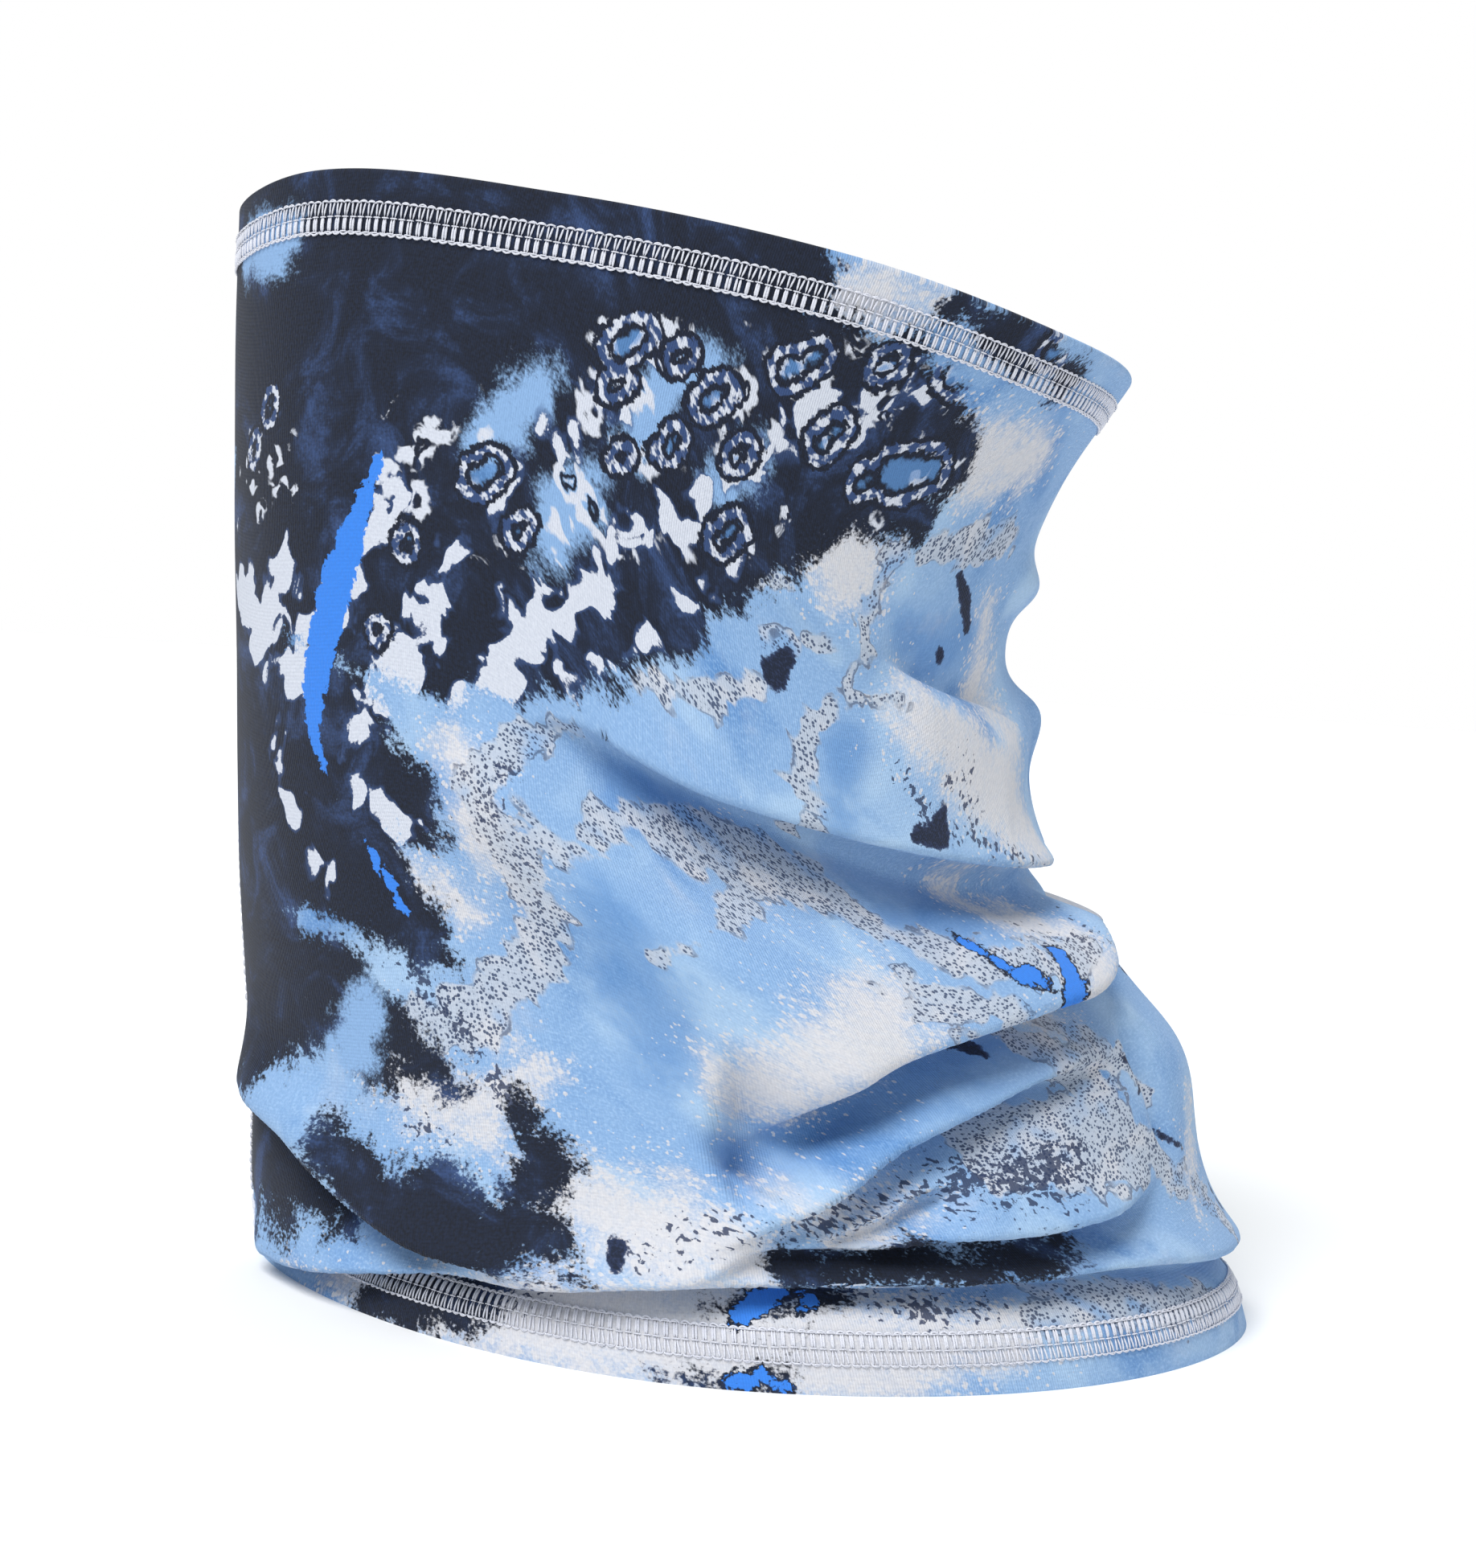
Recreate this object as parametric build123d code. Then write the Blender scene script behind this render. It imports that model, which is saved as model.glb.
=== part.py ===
from build123d import *
import math
import os

import numpy as np

# Neck gaiter: a tube of printed stretch knit, closed by a flat seam at the back of the neck.
# Each end is folded inwards and held by a three needle coverstitch band.
#
# Frame, in millimetres: +X is the wearer's front, +Z is up, and Y = 0 is the middle plane of the body.
# The bottom hem stands on Z = 0, and X = 0 is the middle of the tube's full length along X.
#
# A place on the wall is told by its height as a fraction (0 at the bottom fold, 1 at the top fold)
# and by how far it lies outside the cloth's outer face (negative is inside the tube).

# Driving sizes of the tube
CLOTH = 0.9  # one layer of knit
TURNING = 13.0  # depth of the cloth folded inside each end

# Coverstitch bands
FOLD_TO_STITCH = 6.0
STITCH_WIDTH = 6.8
THREAD = 0.4  # sewing thread, as it lies in the seam
THREAD_WEB = 0.3  # thickness of the flat web that a cover or looper thread makes
SEAM_GAP = 0.05  # clearance between layers that are sewn together

# Back seam
SEAM_WIDTH = 5.0
SEAM_END_GAP = 2.0  # the back seam stops this far short of each coverstitch band
BACK_SEAM_GAP = 0.1  # clearance between the cloth and the seam's threads

# Blank care label, sewn inside at the back seam
LABEL_WIDTH = 22.0
LABEL_LENGTH = 30.0
LABEL_THICKNESS = 0.25
LABEL_GAP = 1.2  # clearance between the label and the cloth behind it
LABEL_FRACTION = 0.14  # height of the label's lower end

# The tube's outline in the middle plane, from the bottom fold to the top fold:
# height fraction, X at the back, X at the front, half width.
OUTLINE = (
    (0.00, -108.5, 125.5, 92.0),
    (0.06, -111.0, 121.5, 89.5),
    (0.17, -112.5, 112.0, 85.0),
    (0.28, -115.5, 102.0, 81.0),
    (0.38, -118.0, 88.5, 78.5),
    (0.48, -119.5, 69.5, 77.0),
    (0.60, -121.0, 62.0, 76.0),
    (0.70, -122.5, 57.0, 75.5),
    (0.79, -123.5, 60.0, 75.0),
    (0.89, -124.5, 67.5, 74.5),
    (1.00, -125.0, 81.5, 74.0),
)

# Height of the top fold round half the tube: part of the way from the nose to the nape, height.
TOP_FOLD = (
    (0.00, 216.5),
    (0.16, 221.5),
    (0.36, 232.0),
    (0.58, 240.5),
    (0.79, 244.5),
    (0.90, 240.5),
    (1.00, 239.0),
)
MIDDLE_HEIGHT = 233.0  # typical height of the top fold, which heights given in millimetres are taken from

# Roundness of the two ends of a ring: 2 is an ellipse, more is blunter and less is more pointed.
FRONT_ROUNDNESS = (1.75, 1.9)  # at the bottom fold and at the top fold
BACK_ROUNDNESS = (1.32, 2.8)

RING_POINTS = 48
RING_PITCH = 0.04  # height fraction between the rings that a tall wall is drawn through
FINE_POINTS = 960


def smooth(table, place):
    """The table's other columns at places along its first column, on a smooth curve through its rows."""
    rows = np.array(table)
    stops, values = rows[:, 0], rows[:, 1:]
    slopes = np.gradient(values, stops, axis=0)
    low = np.clip(np.searchsorted(stops, place) - 1, 0, len(rows) - 2)
    span = (stops[low + 1] - stops[low])[..., None]
    t = (place - stops[low])[..., None] / span
    start = (1 + 2 * t) * (1 - t) ** 2 * values[low] + t * (1 - t) ** 2 * span * slopes[low]
    end = (3 - 2 * t) * t**2 * values[low + 1] + (t - 1) * t**2 * span * slopes[low + 1]
    return start + end


def ring_points(fraction, outside):
    """Points of equal spacing round the wall, from the front, at a height and a distance outside the cloth."""
    back, front, half_width = smooth(OUTLINE, fraction)
    turn = np.linspace(0, 2 * math.pi, FINE_POINTS + 1)
    front_roundness = np.interp(fraction, (0, 1), FRONT_ROUNDNESS)
    back_roundness = np.interp(fraction, (0, 1), BACK_ROUNDNESS)
    roundness = np.where(np.cos(turn) > 0, front_roundness, back_roundness)
    x = (back + front) / 2 + ((front - back) / 2 + outside) * np.cos(turn)
    y = (half_width + outside) * np.sign(np.sin(turn)) * np.abs(np.sin(turn)) ** (2 / roundness)
    along = np.concatenate(([0], np.cumsum(np.hypot(np.diff(x), np.diff(y)))))
    stops = np.linspace(0, along[-1], RING_POINTS, endpoint=False)
    from_nose = 1 - np.abs(1 - 2 * stops / along[-1])
    z = fraction * smooth(TOP_FOLD, from_nose)[:, 0]
    return list(zip(np.interp(stops, along, x), np.interp(stops, along, y), z))


def ring(fraction, outside=0.0):
    """A closed wire round the tube."""
    return Wire([Edge.make_spline(ring_points(fraction, outside), periodic=True)])


def wall(low_ring, high_ring, *between):
    """The face through rings of the same offset, from the lowest to the highest."""
    return Shell.make_loft([low_ring, *between, high_ring]).faces()


def step(first_ring, second_ring):
    """The narrow face that joins two rings."""
    return Shell.make_loft([first_ring, second_ring], ruled=True).faces()


def bottom_face(outer_ring, inner_ring):
    """The flat face between two rings that lie in one plane."""
    return [Face(outer_ring, [inner_ring])]


def closed_solid(*face_groups):
    """One solid bounded by all of these faces."""
    faces = [face for group in face_groups for face in group]
    solid = Solid(Shell(faces))
    return solid if solid.volume > 0 else -solid


def height_from(end, distance):
    """Height fraction of the place this many millimetres along the wall from the bottom or top fold."""
    part = distance / MIDDLE_HEIGHT
    return part if end == "bottom" else 1 - part


def rows_between(low, high):
    """Height fractions of evenly spaced rings between two heights, kept clear of both."""
    count = max(round((high - low) / RING_PITCH), 2)
    return np.linspace(low, high, count + 1)[1:-1]


def band(low, high, inside, outside):
    """A thin closed band round the tube, between two heights and two distances from the cloth."""
    rows = rows_between(low, high)
    outer_low, outer_high = ring(low, outside), ring(high, outside)
    inner_low, inner_high = ring(low, inside), ring(high, inside)
    return closed_solid(
        wall(outer_low, outer_high, *[ring(row, outside) for row in rows]),
        wall(inner_low, inner_high, *[ring(row, inside) for row in rows]),
        step(outer_low, inner_low),
        step(outer_high, inner_high),
    )


def printed_panel():
    """The tube of knit, one layer thick in the body and two at each folded end."""
    low_turning = height_from("bottom", TURNING)
    high_turning = height_from("top", TURNING)
    body_rows = rows_between(low_turning, high_turning)
    low_rows = rows_between(0, low_turning)
    high_rows = rows_between(high_turning, 1)

    outer_rows = [*low_rows, low_turning, *body_rows, high_turning, *high_rows]
    outer_low, outer_high = ring(0), ring(1)
    outer = wall(outer_low, outer_high, *[ring(row) for row in outer_rows])

    low_edge = ring(0, -2 * CLOTH)
    low_step_in = ring(low_turning, -2 * CLOTH)
    low_step_out = ring(low_turning, -CLOTH)
    high_step_out = ring(high_turning, -CLOTH)
    high_step_in = ring(high_turning, -2 * CLOTH)
    high_edge = ring(1, -2 * CLOTH)
    return closed_solid(
        outer,
        bottom_face(outer_low, low_edge),
        wall(low_edge, low_step_in, *[ring(row, -2 * CLOTH) for row in low_rows]),
        step(low_step_in, low_step_out),
        wall(low_step_out, high_step_out, *[ring(row, -CLOTH) for row in body_rows]),
        step(high_step_out, high_step_in),
        wall(high_step_in, high_edge, *[ring(row, -2 * CLOTH) for row in high_rows]),
        step(high_edge, outer_high),
    )


def needle_row(end, distance):
    """One row of needle thread round a hem, lying on the cover thread."""
    low, high = sorted((height_from(end, distance - THREAD / 2), height_from(end, distance + THREAD / 2)))
    inside = 2 * SEAM_GAP + THREAD_WEB
    return band(low, high, inside, inside + THREAD)


def hem_threads(end):
    """The five threads of one coverstitch band, by node name."""
    first, last = FOLD_TO_STITCH, FOLD_TO_STITCH + STITCH_WIDTH
    needle_rows = {
        "edge": first + THREAD / 2,
        "middle": (first + last) / 2,
        "body": last - THREAD / 2,
    }
    low, high = sorted((height_from(end, first), height_from(end, last)))
    inner_face = -2 * CLOTH - SEAM_GAP
    threads = {f"{end}_hem_needle_thread_{row}": needle_row(end, at) for row, at in needle_rows.items()}
    threads[f"{end}_hem_cover_thread"] = band(low, high, SEAM_GAP, SEAM_GAP + THREAD_WEB)
    threads[f"{end}_hem_looper_thread"] = band(low, high, inner_face - THREAD_WEB, inner_face)
    return threads


def back_strip(low, high, right, left, inside, outside):
    """The part of a band that lies at the back of the tube, from one Y to another."""
    slab = Box(MIDDLE_HEIGHT, left - right, 3 * MIDDLE_HEIGHT, align=(Align.MAX, Align.MIN, Align.CENTER))
    return band(low, high, inside, outside) & Pos(0, right, 0) * slab


def back_seam():
    """The four threads of the flat seam at the nape, by node name."""
    margin = FOLD_TO_STITCH + STITCH_WIDTH + SEAM_END_GAP
    low, high = height_from("bottom", margin), height_from("top", margin)
    half = SEAM_WIDTH / 2
    cover = (BACK_SEAM_GAP, BACK_SEAM_GAP + THREAD_WEB)
    looper = (-CLOTH - BACK_SEAM_GAP - THREAD_WEB, -CLOTH - BACK_SEAM_GAP)
    needle = (cover[1] + SEAM_GAP, cover[1] + SEAM_GAP + THREAD)
    return {
        "back_seam_cover_thread": back_strip(low, high, -half, half, *cover),
        "back_seam_looper_thread": back_strip(low, high, -half, half, *looper),
        "back_seam_needle_thread_left": back_strip(low, high, half - THREAD, half, *needle),
        "back_seam_needle_thread_right": back_strip(low, high, -half, THREAD - half, *needle),
    }


def care_label():
    """A blank woven label that hangs inside the back of the neck."""
    inside = -CLOTH - LABEL_GAP
    half = LABEL_WIDTH / 2
    high = LABEL_FRACTION + LABEL_LENGTH / MIDDLE_HEIGHT
    return back_strip(LABEL_FRACTION, high, -half, half, inside - LABEL_THICKNESS, inside)


def main():
    parts = {"printed_panel": printed_panel()}
    parts |= hem_threads("bottom")
    parts |= hem_threads("top")
    parts |= back_seam()
    parts["care_label"] = care_label()
    os.makedirs("parts", exist_ok=True)
    for name, solid in parts.items():
        solid.label = name
        export_step(solid, f"parts/{name}.step")


main()
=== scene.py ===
import math

import bpy
import numpy as np
from mathutils import Matrix, Vector


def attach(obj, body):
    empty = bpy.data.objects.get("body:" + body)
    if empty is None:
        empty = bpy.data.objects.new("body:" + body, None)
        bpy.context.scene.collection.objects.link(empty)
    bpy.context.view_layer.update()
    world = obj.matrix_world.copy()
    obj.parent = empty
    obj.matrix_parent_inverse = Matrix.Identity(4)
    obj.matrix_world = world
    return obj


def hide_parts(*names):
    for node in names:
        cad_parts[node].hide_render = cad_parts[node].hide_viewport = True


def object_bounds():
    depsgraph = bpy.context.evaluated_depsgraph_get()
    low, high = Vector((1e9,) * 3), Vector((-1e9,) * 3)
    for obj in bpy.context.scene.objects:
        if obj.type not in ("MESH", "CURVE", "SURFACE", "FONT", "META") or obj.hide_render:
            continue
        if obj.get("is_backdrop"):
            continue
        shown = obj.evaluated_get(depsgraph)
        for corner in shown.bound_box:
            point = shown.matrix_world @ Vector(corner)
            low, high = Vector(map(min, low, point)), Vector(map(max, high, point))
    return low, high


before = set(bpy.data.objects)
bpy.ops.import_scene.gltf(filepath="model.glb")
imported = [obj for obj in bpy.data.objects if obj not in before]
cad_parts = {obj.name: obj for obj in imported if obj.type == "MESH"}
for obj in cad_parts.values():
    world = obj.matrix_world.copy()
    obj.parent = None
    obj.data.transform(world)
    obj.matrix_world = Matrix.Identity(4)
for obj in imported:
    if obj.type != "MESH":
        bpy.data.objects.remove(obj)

# Neck gaiter: the cloth, its print, its stitching, the studio and the camera.
#
# Lengths are in millimetres until a mesh is made. The frame is the CAD's: +X is the wearer's front,
# -Y is the side that the camera sees, +Z is up.
#
# A place on the wall has two coordinates, both close to millimetres on the tube before it is bunched:
# girth runs from the nose (0) to the nape, negative on the camera's side, and height runs from the
# bottom fold (0) to the top fold.

cad_low, cad_high = (np.array(corner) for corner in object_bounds())
MM = 0.001
HALF_GIRTH = 295.0  # from the nose to the nape
HEIGHT = 233.0  # typical height of the top fold

# The same wall as the CAD's: height fraction, X at the back, X at the front, half width.
OUTLINE = (
    (0.00, -108.5, 125.5, 92.0),
    (0.06, -111.0, 121.5, 89.5),
    (0.17, -112.5, 112.0, 85.0),
    (0.28, -115.5, 102.0, 81.0),
    (0.38, -118.0, 88.5, 78.5),
    (0.48, -119.5, 69.5, 77.0),
    (0.60, -121.0, 62.0, 76.0),
    (0.70, -122.5, 57.0, 75.5),
    (0.79, -123.5, 60.0, 75.0),
    (0.89, -124.5, 67.5, 74.5),
    (1.00, -125.0, 81.5, 74.0),
)
# Height of the top fold: part of the way from the nose to the nape, height.
TOP_FOLD = (
    (0.00, 216.5),
    (0.16, 221.5),
    (0.36, 232.0),
    (0.58, 240.5),
    (0.79, 244.5),
    (0.90, 240.5),
    (1.00, 239.0),
)
FRONT_ROUNDNESS = (1.75, 1.9)
BACK_ROUNDNESS = (1.32, 2.8)

CLOTH = 0.9  # thickness of the knit
TURNING = 13  # depth of the cloth folded inside each end
HEM_ZONE = 16  # rows this near a fold are laid parallel to it, one at each millimetre
FOLD_RADIUS = 0.52  # of the middle of the cloth, where it turns in
FOLD_STEPS = 9  # points round the turn, both ends counted
WALE, COURSE = 0.55, 0.8  # pitch of the knit's loops, across and up
DOT_SPACING = 0.92  # of the print's stippling
SALT_SPACING = 1.7  # of the white spots round the print's clouds
TAPE_RIB, TAPE_WARP = 0.4, 0.25  # pitch of the label's weave, up and across
COLUMNS = 560  # of the mesh, round the tube
DENSE_ROWS = 700  # that the folds are worked out on
BODY_ROWS = 340  # of the mesh, between the two hem zones
FINE_TURNS = 600  # points round half a row, before they are spaced evenly
EVENING = 30.0  # how widely the print's coordinates are evened out round the tube

rng = np.random.default_rng(7)


# ---------------------------------------------------------------- the wall before it is bunched


def smooth(table, place):
    """The table's other columns at places along its first column, on a smooth curve through its rows."""
    rows = np.array(table)
    stops, values = rows[:, 0], rows[:, 1:]
    slopes = np.gradient(values, stops, axis=0)
    low = np.clip(np.searchsorted(stops, place) - 1, 0, len(rows) - 2)
    span = (stops[low + 1] - stops[low])[..., None]
    t = (place - stops[low])[..., None] / span
    start = (1 + 2 * t) * (1 - t) ** 2 * values[low] + t * (1 - t) ** 2 * span * slopes[low]
    end = (3 - 2 * t) * t**2 * values[low + 1] + (t - 1) * t**2 * span * slopes[low + 1]
    return start + end


def wall_row(fraction, girth, outside):
    """Points of the plain tube at one height fraction, at these places round it."""
    back, front, half_width = smooth(OUTLINE, np.float64(fraction))
    turn = np.linspace(0, math.pi, FINE_TURNS)
    front_roundness = np.interp(fraction, (0, 1), FRONT_ROUNDNESS)
    back_roundness = np.interp(fraction, (0, 1), BACK_ROUNDNESS)
    roundness = np.where(np.cos(turn) > 0, front_roundness, back_roundness)
    x = (back + front) / 2 + ((front - back) / 2 + outside) * np.cos(turn)
    y = (half_width + outside) * np.sin(turn) ** (2 / roundness)
    along = np.concatenate(([0], np.cumsum(np.hypot(np.diff(x), np.diff(y)))))
    part = np.abs(girth) / HALF_GIRTH
    stops = part * along[-1]
    z = fraction * smooth(TOP_FOLD, part)[:, 0]
    return np.stack([np.interp(stops, along, x), np.sign(girth) * np.interp(stops, along, y), z], axis=-1)


def unit(vectors):
    """The same directions, each of length 1."""
    return vectors / np.maximum(np.linalg.norm(vectors, axis=-1, keepdims=True), 1e-12)


def directions(points):
    """Unit vectors round, up and out of a closed grid of points (rows, columns, 3)."""
    around = unit(np.roll(points, -1, axis=1) - np.roll(points, 1, axis=1))
    up = unit(np.gradient(points, axis=0))
    out = unit(np.cross(around, up))
    return around, up, out


# ---------------------------------------------------------------- folds of the bunched cloth

# A lip is a fold whose upper layer swells out and hangs over the layer below. Each has the line of its
# hanging edge from the back towards the front (girth, height), how far it stands out, how far up the
# swell reaches, how deep and wide the hollow under it is, how sharp its edge is, and how much of its
# length fades in and out. A lip that goes "over" the nose carries on along the other side, and has this
# part of its strength at the nose. The others have a copy on the other side, raised by "raise_far".
LIPS = (
    # under the chin, right across the cheek
    dict(line=((-172, 124), (-158, 127), (-144, 124), (-123, 119), (-99, 115), (-80, 113), (-61, 112),
               (-43, 112), (-17, 114), (0, 115)),
         swell=8.0, reach=18, hollow=11.0, width=4.5, fade=(0.14, 0.14), edge=1.0, over=0.3),
    # the big roll over the throat
    dict(line=((-147, 41), (-139, 47), (-130, 53), (-118, 61), (-109, 67), (-91, 73), (-67, 79),
               (-50, 82), (-38, 86), (-30, 91), (-22, 96), (-10, 102)),
         swell=9.5, reach=16, hollow=10.0, width=3.6, fade=(0.3, 0.09), edge=1.1, raise_far=-4),
    # the rolls that fan out below it
    dict(line=((-160, 25), (-147, 30), (-133, 37), (-122, 43), (-110, 50), (-90, 58), (-73, 64),
               (-52, 67), (-30, 68)),
         swell=6.0, reach=6.5, hollow=8.0, width=2.6, fade=(0.3, 0.35), edge=0.9, raise_far=-5),
    dict(line=((-138, 31), (-127, 35), (-117, 38), (-107, 42), (-96, 42)),
         swell=4.2, reach=5, hollow=5.0, width=2.2, fade=(0.3, 0.3), edge=0.8),
    dict(line=((-172, 17), (-154, 23), (-142, 28), (-122, 30), (-105, 32), (-86, 33), (-70, 35),
               (-54, 37), (-36, 40)),
         swell=7.0, reach=7.5, hollow=8.0, width=2.6, fade=(0.45, 0.25), edge=0.9),
    # over the bottom hem
    dict(line=((-290, 6), (-258, 7), (-231, 11), (-209, 14), (-186, 16), (-166, 19), (-145, 21),
               (-116, 22), (-88, 23), (-60, 24), (-30, 21), (0, 20)),
         swell=6.5, reach=6.5, hollow=7.5, width=2.6, fade=(0.03, 0.03), edge=0.9, over=0.7),
    # sweeping down from the nape
    dict(line=((-290, 46), (-270, 41), (-253, 36), (-244, 30), (-233, 25), (-218, 21), (-200, 19),
               (-180, 18)),
         swell=6.5, reach=11, hollow=8.5, width=3.2, fade=(0.12, 0.35), edge=1.0),
)
NOSE_PART = 0.08  # how near the nose a lip that goes over it is weakened, as a part of its length
DROOP = 0.9  # how far a lip sinks, as a part of how far it swells
RAISED = 0.5  # how much of that a lip starts higher up the wall to make up for
FOLD_REACH = 3.0  # a fold is worked out this many of its widths away
FAR_LIFT, FAR_WAVE = 3.0, 40.0  # how far a copy on the other side wanders up and down, and how slowly
LOW_CALM, HIGH_CALM = 4.0, 14.0  # the folds die out over this much of the wall's lower and upper end

# A ridge is a soft swell without an overhang: line, height (negative for a hollow), and its width on the
# left and on the right of the line.
RIDGES = (
    # from the nape's side into the cheek
    dict(line=((-188, 124), (-171, 106), (-152, 90), (-127, 80), (-100, 78)),
         height=5.0, left=10, right=16, fade=(0.2, 0.4)),
    dict(line=((-150, 108), (-125, 102), (-95, 100), (-60, 99)),
         height=-3.0, left=8, right=10, fade=(0.3, 0.3)),
    # across the chin: a pale crest that runs into a crease, and the swell below the crease
    dict(line=((-118, 172), (-100, 164), (-84, 157), (-72, 153)),
         height=2.6, left=5, right=6, fade=(0.4, 0.3)),
    dict(line=((-80, 156), (-66, 154), (-50, 152), (-34, 151), (-25, 147), (-22, 140)),
         height=-4.2, left=7, right=1.8, fade=(0.3, 0.25)),
    dict(line=((-84, 147), (-60, 145), (-38, 140), (-26, 130)),
         height=3.0, left=4.5, right=15, fade=(0.3, 0.3)),
    dict(line=((-12, 148), (4, 148), (24, 146), (44, 141)),
         height=3.6, left=8, right=9, fade=(0.25, 0.4)),
    dict(line=((-28, 181), (0, 182), (30, 180)),
         height=2.2, left=6, right=7, fade=(0.3, 0.3)),
    # the valley under the big roll, its deep pocket, and the crest that closes it
    dict(line=((-149, 39), (-140, 44), (-127, 52), (-113, 60), (-99, 67)),
         height=-6.0, left=8, right=2.3, fade=(0.06, 0.5)),
    dict(line=((-140, 70), (-143, 58), (-147, 41)),
         height=-9.0, left=8, right=2.6, fade=(0.6, 0.08)),
    dict(line=((-146, 36), (-136, 41), (-124, 48), (-110, 56), (-96, 63), (-80, 69)),
         height=2.6, left=1.8, right=4, fade=(0.2, 0.4)),
    # the throat, the notch over it, and the crease beside it
    dict(line=((-42, 62), (-14, 66), (14, 66), (42, 62)),
         height=2.2, left=14, right=16, fade=(0.4, 0.4)),
    dict(line=((-18, 98), (0, 100), (18, 98)),
         height=-3.4, left=5, right=4, fade=(0.3, 0.3)),
    dict(line=((-25, 79), (-32, 71), (-33, 60), (-33, 50), (-27, 43)),
         height=-3.2, left=5, right=2.2, fade=(0.25, 0.3)),
    dict(line=((-278, 49), (-255, 44), (-244, 39), (-236, 31)),
         height=2.4, left=6, right=4, fade=(0.3, 0.3)),
)


def smooth_line(points, parts=10):
    """The line through these points as a smooth chain."""
    points = np.array(points, float)
    where = np.arange(len(points), dtype=float)
    table = np.column_stack([where, points])
    return smooth(table, np.linspace(0, len(points) - 1, (len(points) - 1) * parts + 1))


def fade(part, ends):
    """1 in the middle of a line, easing to 0 over this part of its length at each end."""
    start = np.clip(part / ends[0], 0, 1)
    end = np.clip((1 - part) / ends[1], 0, 1)
    return start**2 * (3 - 2 * start) * end**2 * (3 - 2 * end)


def near_line(line, girth, height, reach):
    """For the places within reach of a line: which they are, how far each is to its left, how far along
    its nearest point is (0 to 1), and the unit direction away from the line's right side."""
    chain = smooth_line(line)
    low, high = chain.min(axis=0) - reach, chain.max(axis=0) + reach
    mask = (girth > low[0]) & (girth < high[0]) & (height > low[1]) & (height < high[1])
    place = np.stack([girth[mask], height[mask]], axis=-1)
    step = np.diff(chain, axis=0)
    length = np.linalg.norm(step, axis=1)
    along = np.concatenate(([0], np.cumsum(length)))
    best = np.full(len(place), np.inf)
    side = np.zeros(len(place))
    part = np.zeros(len(place))
    away = np.zeros((len(place), 2))
    for start, run, size, begin in zip(chain[:-1], step, length, along):
        offset = place - start
        t = np.clip(offset @ run / size**2, 0, 1)
        gap = offset - t[:, None] * run
        distance = np.linalg.norm(gap, axis=1)
        closer = distance < best
        best[closer] = distance[closer]
        left = run[0] * offset[:, 1] - run[1] * offset[:, 0]
        side[closer] = np.sign(left[closer])
        part[closer] = (begin + t[closer] * size) / along[-1]
        normal = np.array([-run[1], run[0]]) / size
        away[closer] = normal
    return mask, best * side, part, away


def lip_shape(lip, girth, height):
    """How far a lip moves each place out of the wall, and along it (girth, height)."""
    out = np.zeros_like(girth)
    shift = np.zeros(girth.shape + (2,))
    reach = FOLD_REACH * max(lip["reach"], lip["width"])
    mask, side, part, away = near_line(lip["line"], girth, height, reach)
    strength = fade(part, lip["fade"])
    strength *= 1 - (1 - lip.get("over", 1)) * np.exp(-(((part - 0.5) / NOSE_PART) ** 2))
    side = side - RAISED * (DROOP * lip["swell"] - 2 * lip["edge"])
    above = np.maximum(side, 0)
    below = np.maximum(-side, 0) / lip["width"]
    swell = (1 - np.exp(-above / lip["edge"])) * np.exp(-((above / lip["reach"]) ** 1.5))
    hollow = below * np.exp(1 - below)
    out[mask] = strength * (lip["swell"] * swell - lip["hollow"] * hollow)
    shift[mask] = -(strength * DROOP * lip["swell"] * swell)[:, None] * away
    return out, shift


def ridge_shape(ridge, girth, height):
    """How far a ridge moves each place out of the wall."""
    out = np.zeros_like(girth)
    reach = FOLD_REACH * max(ridge["left"], ridge["right"])
    mask, side, part, _ = near_line(ridge["line"], girth, height, reach)
    width = np.where(side > 0, ridge["left"], ridge["right"])
    out[mask] = fade(part, ridge["fade"]) * ridge["height"] * np.exp(-((side / width) ** 2))
    return out


def both_sides(fold, lift):
    """The fold, and its copy on the other side of the wearer, which lies a little higher or lower."""
    if "over" in fold:
        far_half = tuple((-girth, height) for girth, height in reversed(fold["line"][:-1]))
        return [dict(fold, line=fold["line"] + far_half)]
    raised = fold.get("raise_far", 0)
    line = tuple(
        (-girth, height + raised + lift * math.sin(girth / FAR_WAVE))
        for girth, height in reversed(fold["line"])
    )
    return [fold, dict(fold, line=line, fade=fold["fade"][::-1])]


def bunch(points, girth, height):
    """Moves the plain wall's points into the bunched shape."""
    around, up, out = directions(points)
    lips = [side for fold in LIPS for side in both_sides(fold, FAR_LIFT)]
    ridges = [side for fold in RIDGES for side in both_sides(fold, -FAR_LIFT)]
    stand = np.zeros_like(girth)
    slide = np.zeros(girth.shape + (2,))
    for lip in lips:
        lip_out, lip_shift = lip_shape(lip, girth, height)
        stand += lip_out
        slide += lip_shift
    for ridge in ridges:
        stand += ridge_shape(ridge, girth, height)
    calm = np.clip(np.minimum(height / LOW_CALM, (HEIGHT - height) / HIGH_CALM), 0, 1)
    return (
        points
        + (stand * calm)[..., None] * out
        + (slide[..., 0] * calm)[..., None] * around
        + (slide[..., 1] * calm)[..., None] * up
    )


def plain_wall():
    """Points, girth and height of the plain tube on a dense grid. The last column meets the first."""
    girth = HALF_GIRTH * np.linspace(-1, 1, COLUMNS, endpoint=False)
    fractions = np.linspace(0, 1, DENSE_ROWS)
    points = np.array([wall_row(fraction, girth, -CLOTH / 2) for fraction in fractions])
    columns, rows = np.meshgrid(girth, fractions * HEIGHT)
    return points, columns, rows


def up_lengths(points):
    """Length of cloth from the bottom fold to each point, up its column."""
    steps = np.linalg.norm(np.diff(points, axis=0), axis=-1)
    return np.vstack([np.zeros((1, points.shape[1])), np.cumsum(steps, axis=0)])


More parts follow.
